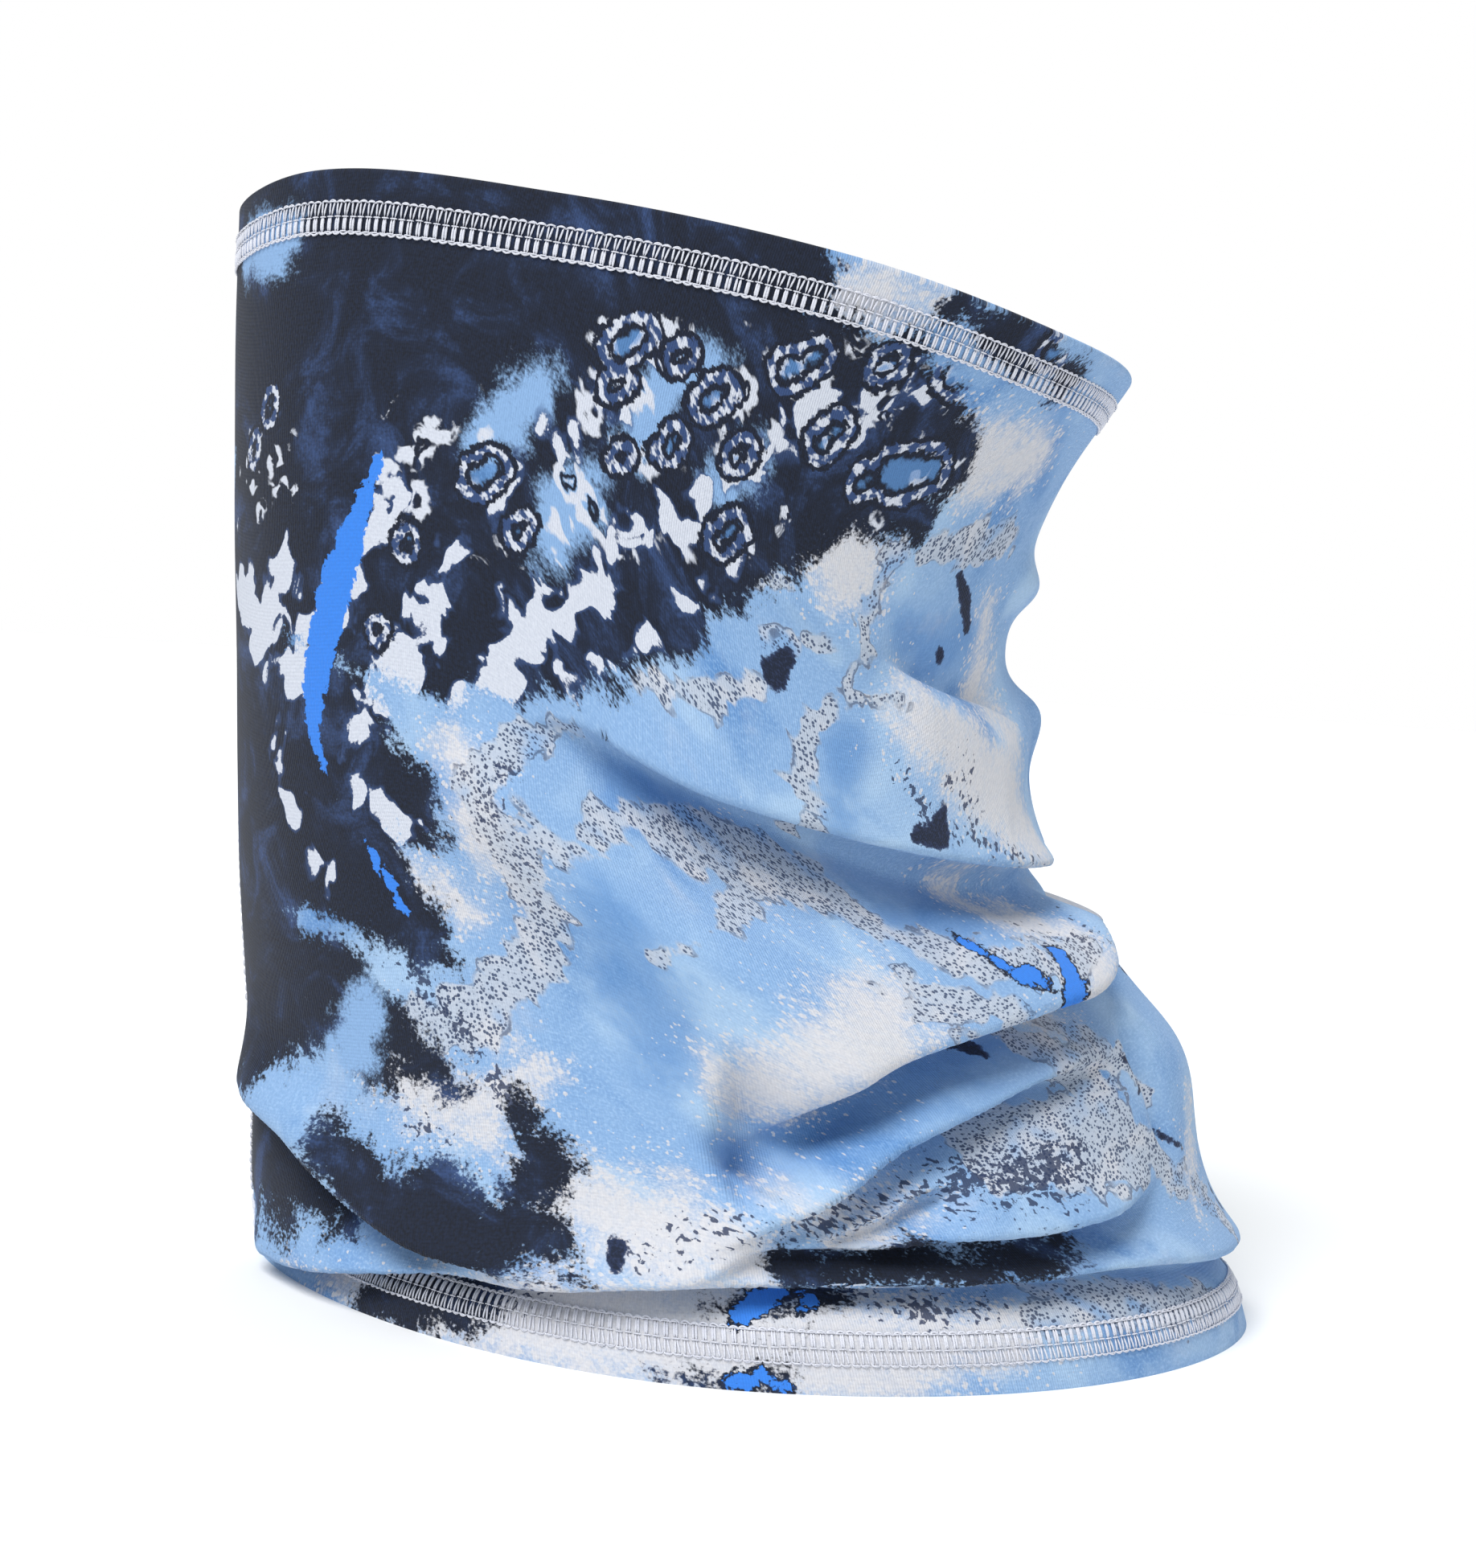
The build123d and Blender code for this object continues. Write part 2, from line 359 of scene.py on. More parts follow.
def relay_rows(values, lengths, stops):
    """Values (rows, columns, n) read off at these lengths of cloth up each column."""
    laid = np.empty((stops.shape[0],) + values.shape[1:])
    for column in range(values.shape[1]):
        for item in range(values.shape[2]):
            laid[:, column, item] = np.interp(
                stops[:, column], lengths[:, column], values[:, column, item]
            )
    return laid


def evened(lengths):
    """Cloth lengths with their differences round the tube smoothed out, so that the print isn't sheared."""
    turns = np.fft.rfftfreq(COLUMNS, d=2 * HALF_GIRTH / COLUMNS)
    keep = np.exp(-2 * (math.pi * turns * EVENING) ** 2)
    return np.fft.irfft(np.fft.rfft(lengths, axis=1) * keep, n=COLUMNS, axis=1)


class Cloth:
    """The outer layer of the bunched cloth, as grids whose rows are even along the cloth."""

    def __init__(self):
        plain, girth, height = plain_wall()
        bunched = bunch(plain, girth, height)
        lengths = up_lengths(bunched)
        total = lengths[-1]
        hem = np.linspace(0, HEM_ZONE, HEM_ZONE + 1)
        body = np.linspace(0, 1, BODY_ROWS + 2)[1:-1]
        low = np.repeat(hem[:, None], COLUMNS, axis=1)
        middle = HEM_ZONE + body[:, None] * (total - 2 * HEM_ZONE)
        high = total - low[::-1]
        stops = np.vstack([low, middle, high])
        values = np.concatenate([bunched, np.stack([girth, height, evened(lengths)], axis=-1)], axis=-1)
        laid = relay_rows(values, lengths, stops)
        self.points = laid[..., :3]
        self.girth, self.height, self.grain = laid[..., 3], laid[..., 4], laid[..., 5]
        self.lengths = stops
        self.total = total
        _, self.up, self.out = directions(self.points)


cloth = Cloth()


# ---------------------------------------------------------------- meshes


def mesh_from(name, points, quads):
    """A smooth shaded mesh of quads, from points in millimetres."""
    mesh = bpy.data.meshes.new(name)
    mesh.vertices.add(len(points))
    mesh.vertices.foreach_set("co", (points * MM).astype(np.float32).ravel())
    mesh.loops.add(quads.size)
    mesh.loops.foreach_set("vertex_index", quads.astype(np.int32).ravel())
    mesh.polygons.add(len(quads))
    mesh.polygons.foreach_set("loop_start", np.arange(0, quads.size, 4, dtype=np.int32))
    mesh.update(calc_edges=True)
    mesh.validate()
    mesh.polygons.foreach_set("use_smooth", np.ones(len(mesh.polygons), dtype=bool))
    mesh.update()
    return mesh


def piece(name, mesh, material, node):
    """An object that rides on the root and stands for this CAD node."""
    made = bpy.data.objects.new(name, mesh)
    bpy.context.scene.collection.objects.link(made)
    mesh.materials.append(material)
    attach(made, "root")
    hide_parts(node)
    return made


def panel_path():
    """The middle of the cloth from one cut edge to the other, as rows: up inside each hem and round
    each fold. Also the girth, height and cloth length of each row."""
    depth = 2 * FOLD_RADIUS
    rows = TURNING + 1
    bottom = cloth.points[:rows] - depth * cloth.out[:rows]
    top = cloth.points[-rows:] - depth * cloth.out[-rows:]
    arc = np.linspace(0, math.pi, FOLD_STEPS)[1:-1]

    def fold(edge, out, up, sign):
        centre = edge - FOLD_RADIUS * out
        return np.array([
            centre - FOLD_RADIUS * math.cos(a) * out + sign * FOLD_RADIUS * math.sin(a) * up for a in arc
        ])

    low_fold = fold(cloth.points[0], cloth.out[0], cloth.up[0], -1)
    high_fold = fold(cloth.points[-1], cloth.out[-1], cloth.up[-1], 1)[::-1]
    points = np.concatenate([bottom[::-1], low_fold, cloth.points, high_fold, top[::-1]])

    def extend(values, outward):
        low_in = outward(values[:rows], values[0])[::-1]
        low_arc = np.repeat(values[:1], len(arc), axis=0)
        high_arc = np.repeat(values[-1:], len(arc), axis=0)
        high_in = outward(values[-rows:], values[-1])[::-1]
        return np.concatenate([low_in, low_arc, values, high_arc, high_in])

    girth = extend(cloth.girth, lambda part, edge: part)
    height = extend(cloth.height, lambda part, edge: part)
    length = extend(cloth.grain, lambda part, edge: 2 * edge - part)
    return points, girth, height, length


def set_fabric(mesh, across, up):
    """Gives each point its place on the flat cloth, which the materials read."""
    place = np.stack([across, up, np.zeros_like(up)], axis=-1)
    attribute = mesh.attributes.new("fabric", "FLOAT_VECTOR", "POINT")
    attribute.data.foreach_set("vector", place.astype(np.float32).ravel())


def both_skins(values):
    """Values of the rows of the cloth's face, and then of its back from the last row to the first."""
    return np.concatenate([values, values[::-1]])


def printed_cloth(print_material, back_material):
    """The printed panel: a face skin and a back skin, joined at the two cut edges."""
    points, girth, height, length = panel_path()
    _, _, out = directions(points)
    face = points + out * CLOTH / 2
    back = points - out * CLOTH / 2
    loop = np.concatenate([face, back[::-1]])
    rows, columns = loop.shape[:2]
    index = np.arange(rows * columns).reshape(rows, columns)
    next_row = np.roll(index, -1, axis=0)
    quads = np.stack([
        index, np.roll(index, -1, axis=1), np.roll(next_row, -1, axis=1), next_row
    ], axis=-1).reshape(-1, 4)
    mesh = mesh_from("printed_panel_cloth", loop.reshape(-1, 3), quads)
    set_fabric(mesh, both_skins(girth), both_skins(length))
    for zone, values in print_zones(girth, height).items():
        attribute = mesh.attributes.new(zone, "FLOAT", "POINT")
        attribute.data.foreach_set("value", both_skins(values).astype(np.float32).ravel())
    made = piece("printed_panel_cloth", mesh, print_material, "printed_panel")
    mesh.materials.append(back_material)
    is_back = np.repeat(np.arange(rows) >= len(points), columns)
    mesh.polygons.foreach_set("material_index", is_back.astype(np.int32))
    return made


# ---------------------------------------------------------------- stitching

FIRST_ROW, MIDDLE_ROW, LAST_ROW = 6.2, 9.4, 12.6  # needle rows, from the fold
STITCH = 2.05  # length of one stitch
THREAD_SIDES = 6  # of a thread's section; tube_quads closes the ends of six sides
SEAM_HALF = 2.3  # from the nape to each needle row of the back seam
SEAM_MARGIN = 14.8  # the back seam stops this far from each fold

# Each strand of a stitch is a thread's radius and a chain of (stitches along the seam, millimetres across
# it, lift off the cloth).
HEM_COVER = (
    # the scallop beside the fold
    (0.17, ((-0.50, 6.50, 0.05), (-0.30, 6.12, 0.20), (0.0, 5.94, 0.26), (0.30, 6.12, 0.20),
            (0.50, 6.50, 0.05))),
    # two legs that meet at the middle row
    (0.21, ((-0.27, 6.20, 0.12), (-0.22, 7.50, 0.26), (-0.13, 9.30, 0.20))),
    (0.21, ((0.27, 6.20, 0.12), (0.22, 7.50, 0.26), (0.12, 9.30, 0.20))),
    # a pair of strands side by side that make the broad slanted bar
    (0.27, ((-0.14, 9.30, 0.18), (-0.07, 11.0, 0.32), (0.01, 12.70, 0.22))),
    (0.27, ((0.09, 9.30, 0.18), (0.16, 11.0, 0.32), (0.24, 12.70, 0.22))),
    # the scallop on the body's side
    (0.25, ((-0.40, 12.45, 0.05), (-0.20, 12.88, 0.22), (0.10, 13.08, 0.30), (0.42, 12.86, 0.22),
            (0.62, 12.45, 0.05))),
)
HEM_LOOPER = (
    (0.20, ((-0.50, 6.30, 0.12), (-0.22, 7.80, 0.26), (0.02, 9.40, 0.16), (-0.30, 11.0, 0.26),
            (-0.50, 12.60, 0.12))),
    (0.20, ((0.44, 6.30, 0.12), (0.20, 7.80, 0.26), (-0.04, 9.40, 0.16), (0.24, 11.0, 0.26),
            (0.44, 12.60, 0.12))),
    (0.20, ((-0.50, 6.20, 0.22), (0.0, 6.05, 0.34), (0.50, 6.20, 0.22))),
    (0.20, ((-0.50, 12.60, 0.22), (0.0, 12.78, 0.34), (0.50, 12.60, 0.22))),
)


def seam_scallop(side):
    """The cover thread's scallop along one side of the back seam."""
    chain = ((-0.50, 1.90, 0.05), (-0.28, 2.36, 0.22), (0.0, 2.52, 0.26), (0.28, 2.36, 0.22),
             (0.50, 1.90, 0.05))
    return 0.18, tuple((along, side * across, lift) for along, across, lift in chain)


SEAM_COVER = (
    seam_scallop(-1),
    seam_scallop(1),
    (0.20, ((-0.20, -2.30, 0.14), (-0.30, 0.0, 0.32), (-0.20, 2.30, 0.14))),
    (0.20, ((0.20, -2.30, 0.14), (0.06, 0.0, 0.32), (0.20, 2.30, 0.14))),
)
SEAM_LOOPER = (
    (0.20, ((-0.50, -2.30, 0.12), (0.0, 0.0, 0.30), (-0.50, 2.30, 0.12))),
    (0.20, ((0.46, -2.30, 0.12), (0.04, 0.0, 0.30), (0.46, 2.30, 0.12))),
)
# Unevenness of the stitches: in stitches along the seam, in millimetres across it, and as a part of the lift.
UNEVEN_ALONG, UNEVEN_ACROSS, UNEVEN_LIFT = 0.035, 0.05, 0.1
TAPER, THIN_END = 8, 0.25  # a strand thins over its last eighth, to a quarter of its width


def needle_strand(across):
    """The short dash that a needle thread shows on every stitch of one row."""
    chain = ((-0.44, across, 0.22), (-0.15, across, 0.46), (0.15, across, 0.46), (0.44, across, 0.22))
    return ((0.15, chain),)


def sample(grid, row, column):
    """A closed grid's values at fractional rows and columns."""
    row = np.clip(row, 0, grid.shape[0] - 1.001)  # just under the last row, so that low + 1 is a row
    low, left = np.floor(row).astype(int), np.floor(column).astype(int)
    up, over = (row - low)[..., None], (column - left)[..., None]
    left, right = left % COLUMNS, (left + 1) % COLUMNS
    lower = grid[low, left] * (1 - over) + grid[low, right] * over
    upper = grid[low + 1, left] * (1 - over) + grid[low + 1, right] * over
    return lower * (1 - up) + upper * up


def on_hem(end, inside):
    """Turns (stitches along, millimetres from the fold) into points and normals on one face of a hem."""
    def place(along, across, count):
        row = across if end == "bottom" else len(cloth.points) - 1 - across
        column = along / count * COLUMNS
        out = unit(sample(cloth.out, row, column))
        depth = -2 * FOLD_RADIUS - CLOTH / 2 if inside else CLOTH / 2
        return sample(cloth.points, row, column) + depth * out, -out if inside else out
    return place


def on_back_seam(inside):
    """The same for the seam up the nape: (stitches along, millimetres across)."""
    def place(along, across, count):
        first, last = SEAM_MARGIN, cloth.total[0] - SEAM_MARGIN
        length = first + (along + 0.5) / count * (last - first)
        row = np.interp(length, cloth.lengths[:, 0], np.arange(len(cloth.lengths)))
        column = across / (2 * HALF_GIRTH) * COLUMNS + COLUMNS
        out = unit(sample(cloth.out, row, column))
        depth = -CLOTH / 2 if inside else CLOTH / 2
        return sample(cloth.points, row, column) + depth * out, -out if inside else out
    return place


def tube_grids(path, normal, radius):
    """Points round threads that follow paths (threads, stops, 3), narrowing at both ends."""
    run = unit(np.gradient(path, axis=1))
    side = unit(np.cross(run, normal))
    top = unit(np.cross(side, run))
    turn = np.linspace(0, 2 * math.pi, THREAD_SIDES, endpoint=False)
    ring = np.cos(turn)[:, None] * side[:, :, None] + np.sin(turn)[:, None] * top[:, :, None]
    stops = np.linspace(0, 1, path.shape[1])
    taper = np.clip(TAPER * np.minimum(stops, 1 - stops), THIN_END, 1)
    return path[:, :, None] + radius * taper[None, :, None, None] * ring


def tube_quads(threads, stops):
    """The faces of tube grids, with a pair of faces closing each end."""
    index = np.arange(stops * THREAD_SIDES).reshape(stops, THREAD_SIDES)
    right = np.roll(index, -1, axis=1)
    sides = np.stack([index[:-1], right[:-1], right[1:], index[1:]], axis=-1).reshape(-1, 4)
    first, last = index[0], index[-1]
    caps = np.array([first[[3, 2, 1, 0]], first[[0, 5, 4, 3]], last[[0, 1, 2, 3]], last[[3, 4, 5, 0]]])
    one = np.concatenate([sides, caps])
    starts = np.arange(threads) * stops * THREAD_SIDES
    return (starts[:, None, None] + one).reshape(-1, 4)


def sewn(name, strands, place, count, node):
    """One thread of a seam: its strands repeated at every stitch, as round threads."""
    points, quads, start = [], [], 0
    stitches = np.arange(count)[:, None]
    for radius, chain in strands:
        curve = smooth_line(chain, 2)
        uneven = rng.normal(0, UNEVEN_ALONG, (count, 1))
        along = stitches + curve[None, :, 0] + uneven
        across = np.repeat(curve[None, :, 1], count, axis=0) + rng.normal(0, UNEVEN_ACROSS, (count, 1))
        base, normal = place(along, across, count)
        lift = curve[:, 2] * (1 + rng.normal(0, UNEVEN_LIFT, (count, 1)))
        path = base + lift[..., None] * normal
        tubes = tube_grids(path, normal, radius)
        points.append(tubes.reshape(-1, 3))
        quads.append(start + tube_quads(count, len(curve)))
        start += tubes.size // 3
    mesh = mesh_from(name, np.concatenate(points), np.concatenate(quads))
    return piece(name, mesh, thread_material, node)


def sew_hem(end):
    """The five threads of one coverstitch band."""
    ring = cloth.points[0] if end == "bottom" else cloth.points[-1]
    girth = np.linalg.norm(np.roll(ring, -1, axis=0) - ring, axis=-1).sum()
    count = round(girth / STITCH)
    outside, inside = on_hem(end, False), on_hem(end, True)
    rows = {"edge": FIRST_ROW, "middle": MIDDLE_ROW, "body": LAST_ROW}
    for row, across in rows.items():
        node = f"{end}_hem_needle_thread_{row}"
        sewn(node + "_stitches", needle_strand(across), outside, count, node)
    node = f"{end}_hem_cover_thread"
    sewn(node + "_stitches", HEM_COVER, outside, count, node)
    node = f"{end}_hem_looper_thread"
    sewn(node + "_stitches", HEM_LOOPER, inside, count, node)


def sew_back_seam():
    """The four threads of the flat seam up the nape."""
    count = round((cloth.total[0] - 2 * SEAM_MARGIN) / STITCH)
    outside, inside = on_back_seam(False), on_back_seam(True)
    for row, across in (("left", SEAM_HALF), ("right", -SEAM_HALF)):
        node = f"back_seam_needle_thread_{row}"
        sewn(node + "_stitches", needle_strand(across), outside, count, node)
    node = "back_seam_cover_thread"
    sewn(node + "_stitches", SEAM_COVER, outside, count, node)
    node = "back_seam_looper_thread"
    sewn(node + "_stitches", SEAM_LOOPER, inside, count, node)


# ---------------------------------------------------------------- care label

LABEL_HALF = 11.0
LABEL_HEIGHTS = (32.6, 62.6)  # of its lower and upper end
LABEL_THICKNESS = 0.25
LABEL_LIFT = 1.8  # off the inside of the cloth, clear of the back seam's threads
LABEL_HANG = 1.8  # how much farther off its loose lower end hangs
LABEL_ROWS, LABEL_COLUMNS = 49, 37
SELVAGE, SELVAGE_START = 0.9, 1.2  # width of the firm edge where it is full, and where it begins


def slab(name, face, back):
    """A closed thin sheet between two point grids (rows, columns, 3)."""
    rows, columns = face.shape[:2]
    upper = np.arange(rows * columns).reshape(rows, columns)
    lower = upper + rows * columns
    rim = np.concatenate([upper[0], upper[1:, -1], upper[-1, -2::-1], upper[-2:0:-1, 0]])
    under_rim = rim + rows * columns
    sides = (
        (upper[:-1, :-1], upper[:-1, 1:], upper[1:, 1:], upper[1:, :-1]),
        (lower[:-1, :-1], lower[1:, :-1], lower[1:, 1:], lower[:-1, 1:]),
        (rim, under_rim, np.roll(under_rim, -1), np.roll(rim, -1)),
    )
    quads = np.concatenate([np.stack(corners, axis=-1).reshape(-1, 4) for corners in sides])
    points = np.concatenate([face.reshape(-1, 3), back.reshape(-1, 3)])
    return mesh_from(name, points, quads)


def care_label(material):
    """The blank woven label inside the nape: held by its upper end, its lower end hanging free."""
    heights = np.linspace(*LABEL_HEIGHTS, LABEL_ROWS)
    across = np.linspace(-LABEL_HALF, LABEL_HALF, LABEL_COLUMNS)
    girth = np.where(across > 0, -1, 1) * (HALF_GIRTH - np.abs(across))
    lifts = LABEL_LIFT + LABEL_HANG * np.linspace(1, 0, LABEL_ROWS) ** 2

    def layer(depth):
        return np.array([
            wall_row(height / HEIGHT, girth, -CLOTH - lift - depth) for height, lift in zip(heights, lifts)
        ])

    mesh = slab("care_label_tape", layer(0), layer(LABEL_THICKNESS))
    x, y = np.meshgrid(across, heights)
    set_fabric(mesh, np.concatenate([x, x]), np.concatenate([y, y]))
    return piece("care_label_tape", mesh, material, "care_label")


# ---------------------------------------------------------------- where the print's colours lie

# Each zone is a list of strokes, and a stroke is a chain of (girth, height, radius) in millimetres.
# dark is the navy side, with acid its pale flecks, cells its small rings, eyes its large ones and
# blue_pool its blue patches. The zone of deeper sky blue is partly the print's and partly painted shade:
# most of its strokes on this side lie along the hollows under the folds. cloud and stipple are the sky's
# white clouds and dotted veins, speckle and blot its dark specks and spots, and electric the bright blue
# streaks on both.
NEAR_SIDE = {
    "dark": (
        ((-262, 226, 22), (-225, 222, 24), (-190, 216, 26), (-150, 222, 24), (-128, 226, 18)),
        ((-255, 196, 24), (-215, 192, 28), (-180, 186, 28), (-150, 190, 26), (-120, 200, 20), (-92, 206, 18),
         (-76, 206, 12)),
        ((-255, 165, 22), (-215, 158, 24), (-188, 152, 22), (-160, 156, 20), (-136, 166, 18), (-112, 178, 14),
         (-84, 194, 9), (-70, 199, 11)),
        ((-275, 135, 22), (-245, 124, 20), (-218, 118, 16), (-202, 108, 9)),
        ((-270, 100, 24), (-242, 102, 20), (-222, 96, 15), (-206, 84, 9)),
        ((-284, 74, 17), (-258, 74, 14), (-236, 68, 10), (-218, 60, 7), (-206, 54, 5)),
        ((-294, 58, 10), (-276, 52, 8)),
        ((-292, 30, 16), (-262, 28, 13), (-244, 26, 8)),
        ((-238, 38, 5), (-220, 29, 7), (-200, 27, 7), (-184, 26, 4)),
        ((-190, 48, 5), (-183, 40, 6), (-192, 33, 5)),
        ((-138, 27, 2.5), (-118, 29, 4.5), (-98, 29, 4.5), (-84, 30, 3), (-74, 32, 3)),
        ((-80, 231, 4), (-62, 229, 6), (-44, 226, 5)),
        ((-240, 2, 5), (-222, 6, 6), (-205, 10, 5)),
        ((-156, 14, 1.5), (-148, 16, 3.0), (-138, 18, 2.8), (-126, 22, 2.5)),
        ((-166, 1, 1.5), (-154, 1, 2.6), (-143, 2, 2.4)),
        ((-92, 187, 9), (-74, 190, 9)),
        ((-292, 62, 11), (-270, 58, 11), (-250, 62, 9), (-236, 60, 8), (-224, 54, 6)),
        ((-202, 142, 10), (-172, 144, 10), (-150, 149, 10), (-128, 161, 9), (-104, 178, 8)),
    ),
    # deeper sky blue; most of these strokes lie along the hollows under the folds and are painted shade
    "deep": (
        ((-159, 92, 7), (-157, 77, 10), (-156, 64, 8)),
        ((-89, 100, 4), (-70, 102, 5), (-51, 104, 3)),
        ((-147, 44, 5), (-132, 51, 6), (-114, 60, 6), (-97, 67, 4), (-72, 75, 3)),
        ((-146, 117, 5), (-128, 113, 5), (-110, 108, 4)),
        ((-92, 136, 5), (-98, 122, 5)),
        ((-42, 165, 6), (-58, 160, 7), (-70, 164, 4)),
        ((-206, 113, 5), (-188, 112, 6)),
        ((-38, 226, 4), (-34, 214, 5), (-28, 204, 5)),
    ),
    "blot": (
        ((-51, 178, 1.0), (-46, 173, 2.4), (-43, 167, 1.6)),
        ((-53, 160, 1.2), (-52, 159, 1.2)),
        ((-104, 151, 2.0), (-108, 147, 3.2)),
        ((-67, 127, 0.8), (-72, 122, 2.6), (-79, 121, 1.2)),
        ((-88, 74, 1.4), (-80, 73, 1.8)),
        ((-20, 97, 0.4), (-14, 91, 0.7)),
        ((-10, 92, 0.4), (-5, 86, 0.6)),
        ((-38, 70, 0.3), (-34, 64, 0.7), (-38, 60, 0.4)),
        ((-35, 56, 0.3), (-30, 50, 0.6), (-25, 46, 0.4)),
        ((-9, 52, 0.3), (-6, 45, 0.7)),
        ((-10, 36, 0.3), (-7, 30, 0.8)),
        ((-172, 26, 1.8), (-171, 27, 1.8)),
    ),
    "acid": (
        ((-262, 150, 8), (-248, 140, 10), (-236, 152, 7)),
        ((-236, 130, 7), (-224, 140, 8), (-208, 158, 5), (-198, 170, 4)),
        ((-212, 122, 6), (-200, 134, 8), (-188, 150, 6), (-182, 160, 4)),
        ((-186, 126, 5), (-174, 140, 7), (-158, 152, 7), (-148, 158, 4)),
        ((-162, 132, 3), (-150, 141, 4), (-138, 150, 3)),
        ((-176, 168, 2), (-168, 180, 3.4), (-162, 192, 2)),
        ((-128, 158, 2), (-120, 168, 3), (-112, 174, 2)),
        ((-160, 186, 4), (-150, 196, 5), (-146, 206, 5)),
        ((-128, 180, 5), (-112, 192, 6), (-98, 202, 6), (-90, 210, 5)),
        ((-148, 166, 4), (-132, 174, 5), (-118, 170, 4)),
        ((-92, 216, 4), (-80, 214, 5)),
        ((-246, 112, 4), (-238, 100, 4), (-232, 90, 3)),
        ((-215, 112, 4), (-205, 104, 4), (-198, 98, 3)),
    ),
    "cells": (
        ((-170, 190, 10), (-148, 200, 14), (-122, 196, 14), (-98, 206, 12)),
        ((-196, 176, 8), (-172, 174, 10), (-146, 176, 12), (-118, 182, 10)),
        ((-90, 218, 7), (-76, 220, 8)),
        ((-82, 193, 8), (-70, 195, 7)),
        ((-255, 170, 8), (-240, 176, 8)),
        ((-30, 60, 7), (-24, 48, 6)),
    ),
    "eyes": (
        ((-150, 206, 5.0), (-147, 209, 4.6)),
        ((-150, 198, 3.2), (-148, 199, 3.2)),
        ((-137, 206, 3.6), (-136, 207, 3.4)),
        ((-128, 199, 4.6), (-126, 201, 4.4)),
        ((-112, 209, 5.2), (-107, 213, 4.0)),
        ((-100, 196, 4.4), (-97, 200, 4.0)),
        ((-119, 189, 3.6), (-118, 191, 3.6)),
        ((-135, 188, 3.8), (-134, 190, 3.6)),
        ((-146, 184, 3.0), (-145, 185, 3.0)),
        ((-178, 176, 5.0), (-175, 178, 4.8)),
        ((-168, 166, 3.2), (-166, 168, 3.0)),
        ((-196, 160, 3.4), (-195, 162, 3.2)),
        ((-242, 186, 3.6), (-241, 188, 3.4)),
        ((-250, 178, 3.4), (-249, 180, 3.2)),
        ((-80, 194, 6.6), (-70, 198, 5.6)),
        ((-88, 190, 4.0), (-86, 192, 4.0)),
        ((-74, 218, 5.6), (-70, 220, 4.6)),
        ((-52, 229, 4.6), (-50, 230, 4.0)),
        ((-92, 214, 4.0), (-90, 216, 4.0)),
        ((-206, 142, 3.0), (-205, 143, 3.0)),
        ((-120, 172, 4.2), (-117, 175, 4.0)),
    ),
    "blue_pool": (
        ((-160, 164, 4), (-156, 172, 7), (-153, 178, 5)),
        ((-178, 182, 4), (-171, 190, 6), (-166, 196, 4)),
        ((-142, 188, 5), (-138, 200, 5), (-132, 206, 5)),
        ((-121, 184, 4), (-116, 190, 4)),
        ((-255, 222, 6), (-240, 220, 6)),
        ((-232, 56, 6), (-224, 66, 5)),
    ),
    "electric": (
        ((-203, 179, 0.6), (-207, 169, 2.4), (-212, 159, 3.8), (-218, 149, 4.8), (-223, 139, 4.8),
         (-227, 129, 3.8), (-228, 120, 2.4), (-225, 112, 0.8)),
        ((-216, 98, 1.0), (-212, 92, 1.6), (-209, 86, 1.0)),
        ((-64, 84, 1.8), (-58, 88, 2.4), (-54, 94, 1.6)),
        ((-76, 96, 1.2), (-72, 91, 1.8), (-66, 90, 1.4)),
        ((-151, 13, 1.2), (-145, 17, 2.2), (-140, 19, 1.0)),
        ((-138, 16, 0.8), (-134, 18, 1.2)),
        ((-153, 1, 1.0), (-147, 3, 1.8), (-143, 1, 1.0)),
    ),
    "stipple": (
        ((-243, 66, 3), (-226, 62, 4.5), (-208, 62, 6), (-192, 70, 6), (-180, 80, 5.5), (-172, 90, 4.5),
         (-176, 101, 5.5), (-182, 113, 5.5), (-172, 123, 4), (-160, 128, 3)),
        ((-152, 112, 3), (-135, 109, 6), (-119, 107, 8), (-104, 104, 6), (-97, 97, 4.5), (-86, 93, 4.5),
         (-72, 92, 4), (-56, 93, 4), (-44, 96, 4)),
        ((-124, 100, 2.5), (-134, 93, 2), (-144, 87, 1), (-152, 84, 0.5)),
        ((-152, 110, 4), (-164, 104, 2.5), (-172, 112, 3)),
        ((-74, 147, 1), (-90, 145, 1.5), (-101, 138, 3), (-105, 128, 3), (-103, 118, 3)),
        ((-140, 142, 1), (-124, 141, 3), (-112, 144, 1.5)),
        ((-72, 178, 2), (-58, 183, 3.5), (-44, 186, 5.5), (-32, 190, 4)),
        ((-72, 180, 3), (-78, 170, 2), (-82, 160, 2), (-84, 154, 1)),
        ((-126, 163, 2), (-112, 166, 1.5), (-104, 166, 1)),
        ((-112, 152, 2), (-98, 155, 1.5), (-86, 152, 1)),
        ((-66, 74, 4.5), (-52, 68, 7), (-52, 56, 8), (-70, 52, 8.5), (-90, 50, 7), (-42, 48, 5.5),
         (-32, 40, 4.5)),
        ((-48, 76, 4.5), (-38, 67, 4), (-30, 57, 3)),
        ((-26, 42, 2), (-20, 34, 3.5), (-12, 28, 3)),
        ((-88, 15, 4.5), (-70, 17, 5.5), (-48, 14, 5.5), (-30, 11, 4.5)),
        ((-80, 84, 4), (-92, 84, 2.5), (-100, 87, 1)),
        ((-90, 78, 2.5), (-98, 82, 2), (-108, 84, 1)),
    ),
    "cloud": (
        ((-86, 174, 13), (-104, 178, 9)),
        ((-76, 204, 8), (-56, 203, 12), (-38, 208, 10)),
        ((-34, 172, 6), (-32, 158, 8), (-34, 144, 10)),
        ((-72, 143, 10), (-56, 136, 14), (-40, 128, 14)),
        ((-104, 84, 8), (-116, 74, 12), (-130, 66, 10), (-142, 60, 9)),
        ((-58, 108, 7), (-46, 98, 12), (-50, 84, 10), (-66, 82, 4)),
        ((-186, 36, 9), (-166, 31, 12), (-148, 30, 9)),
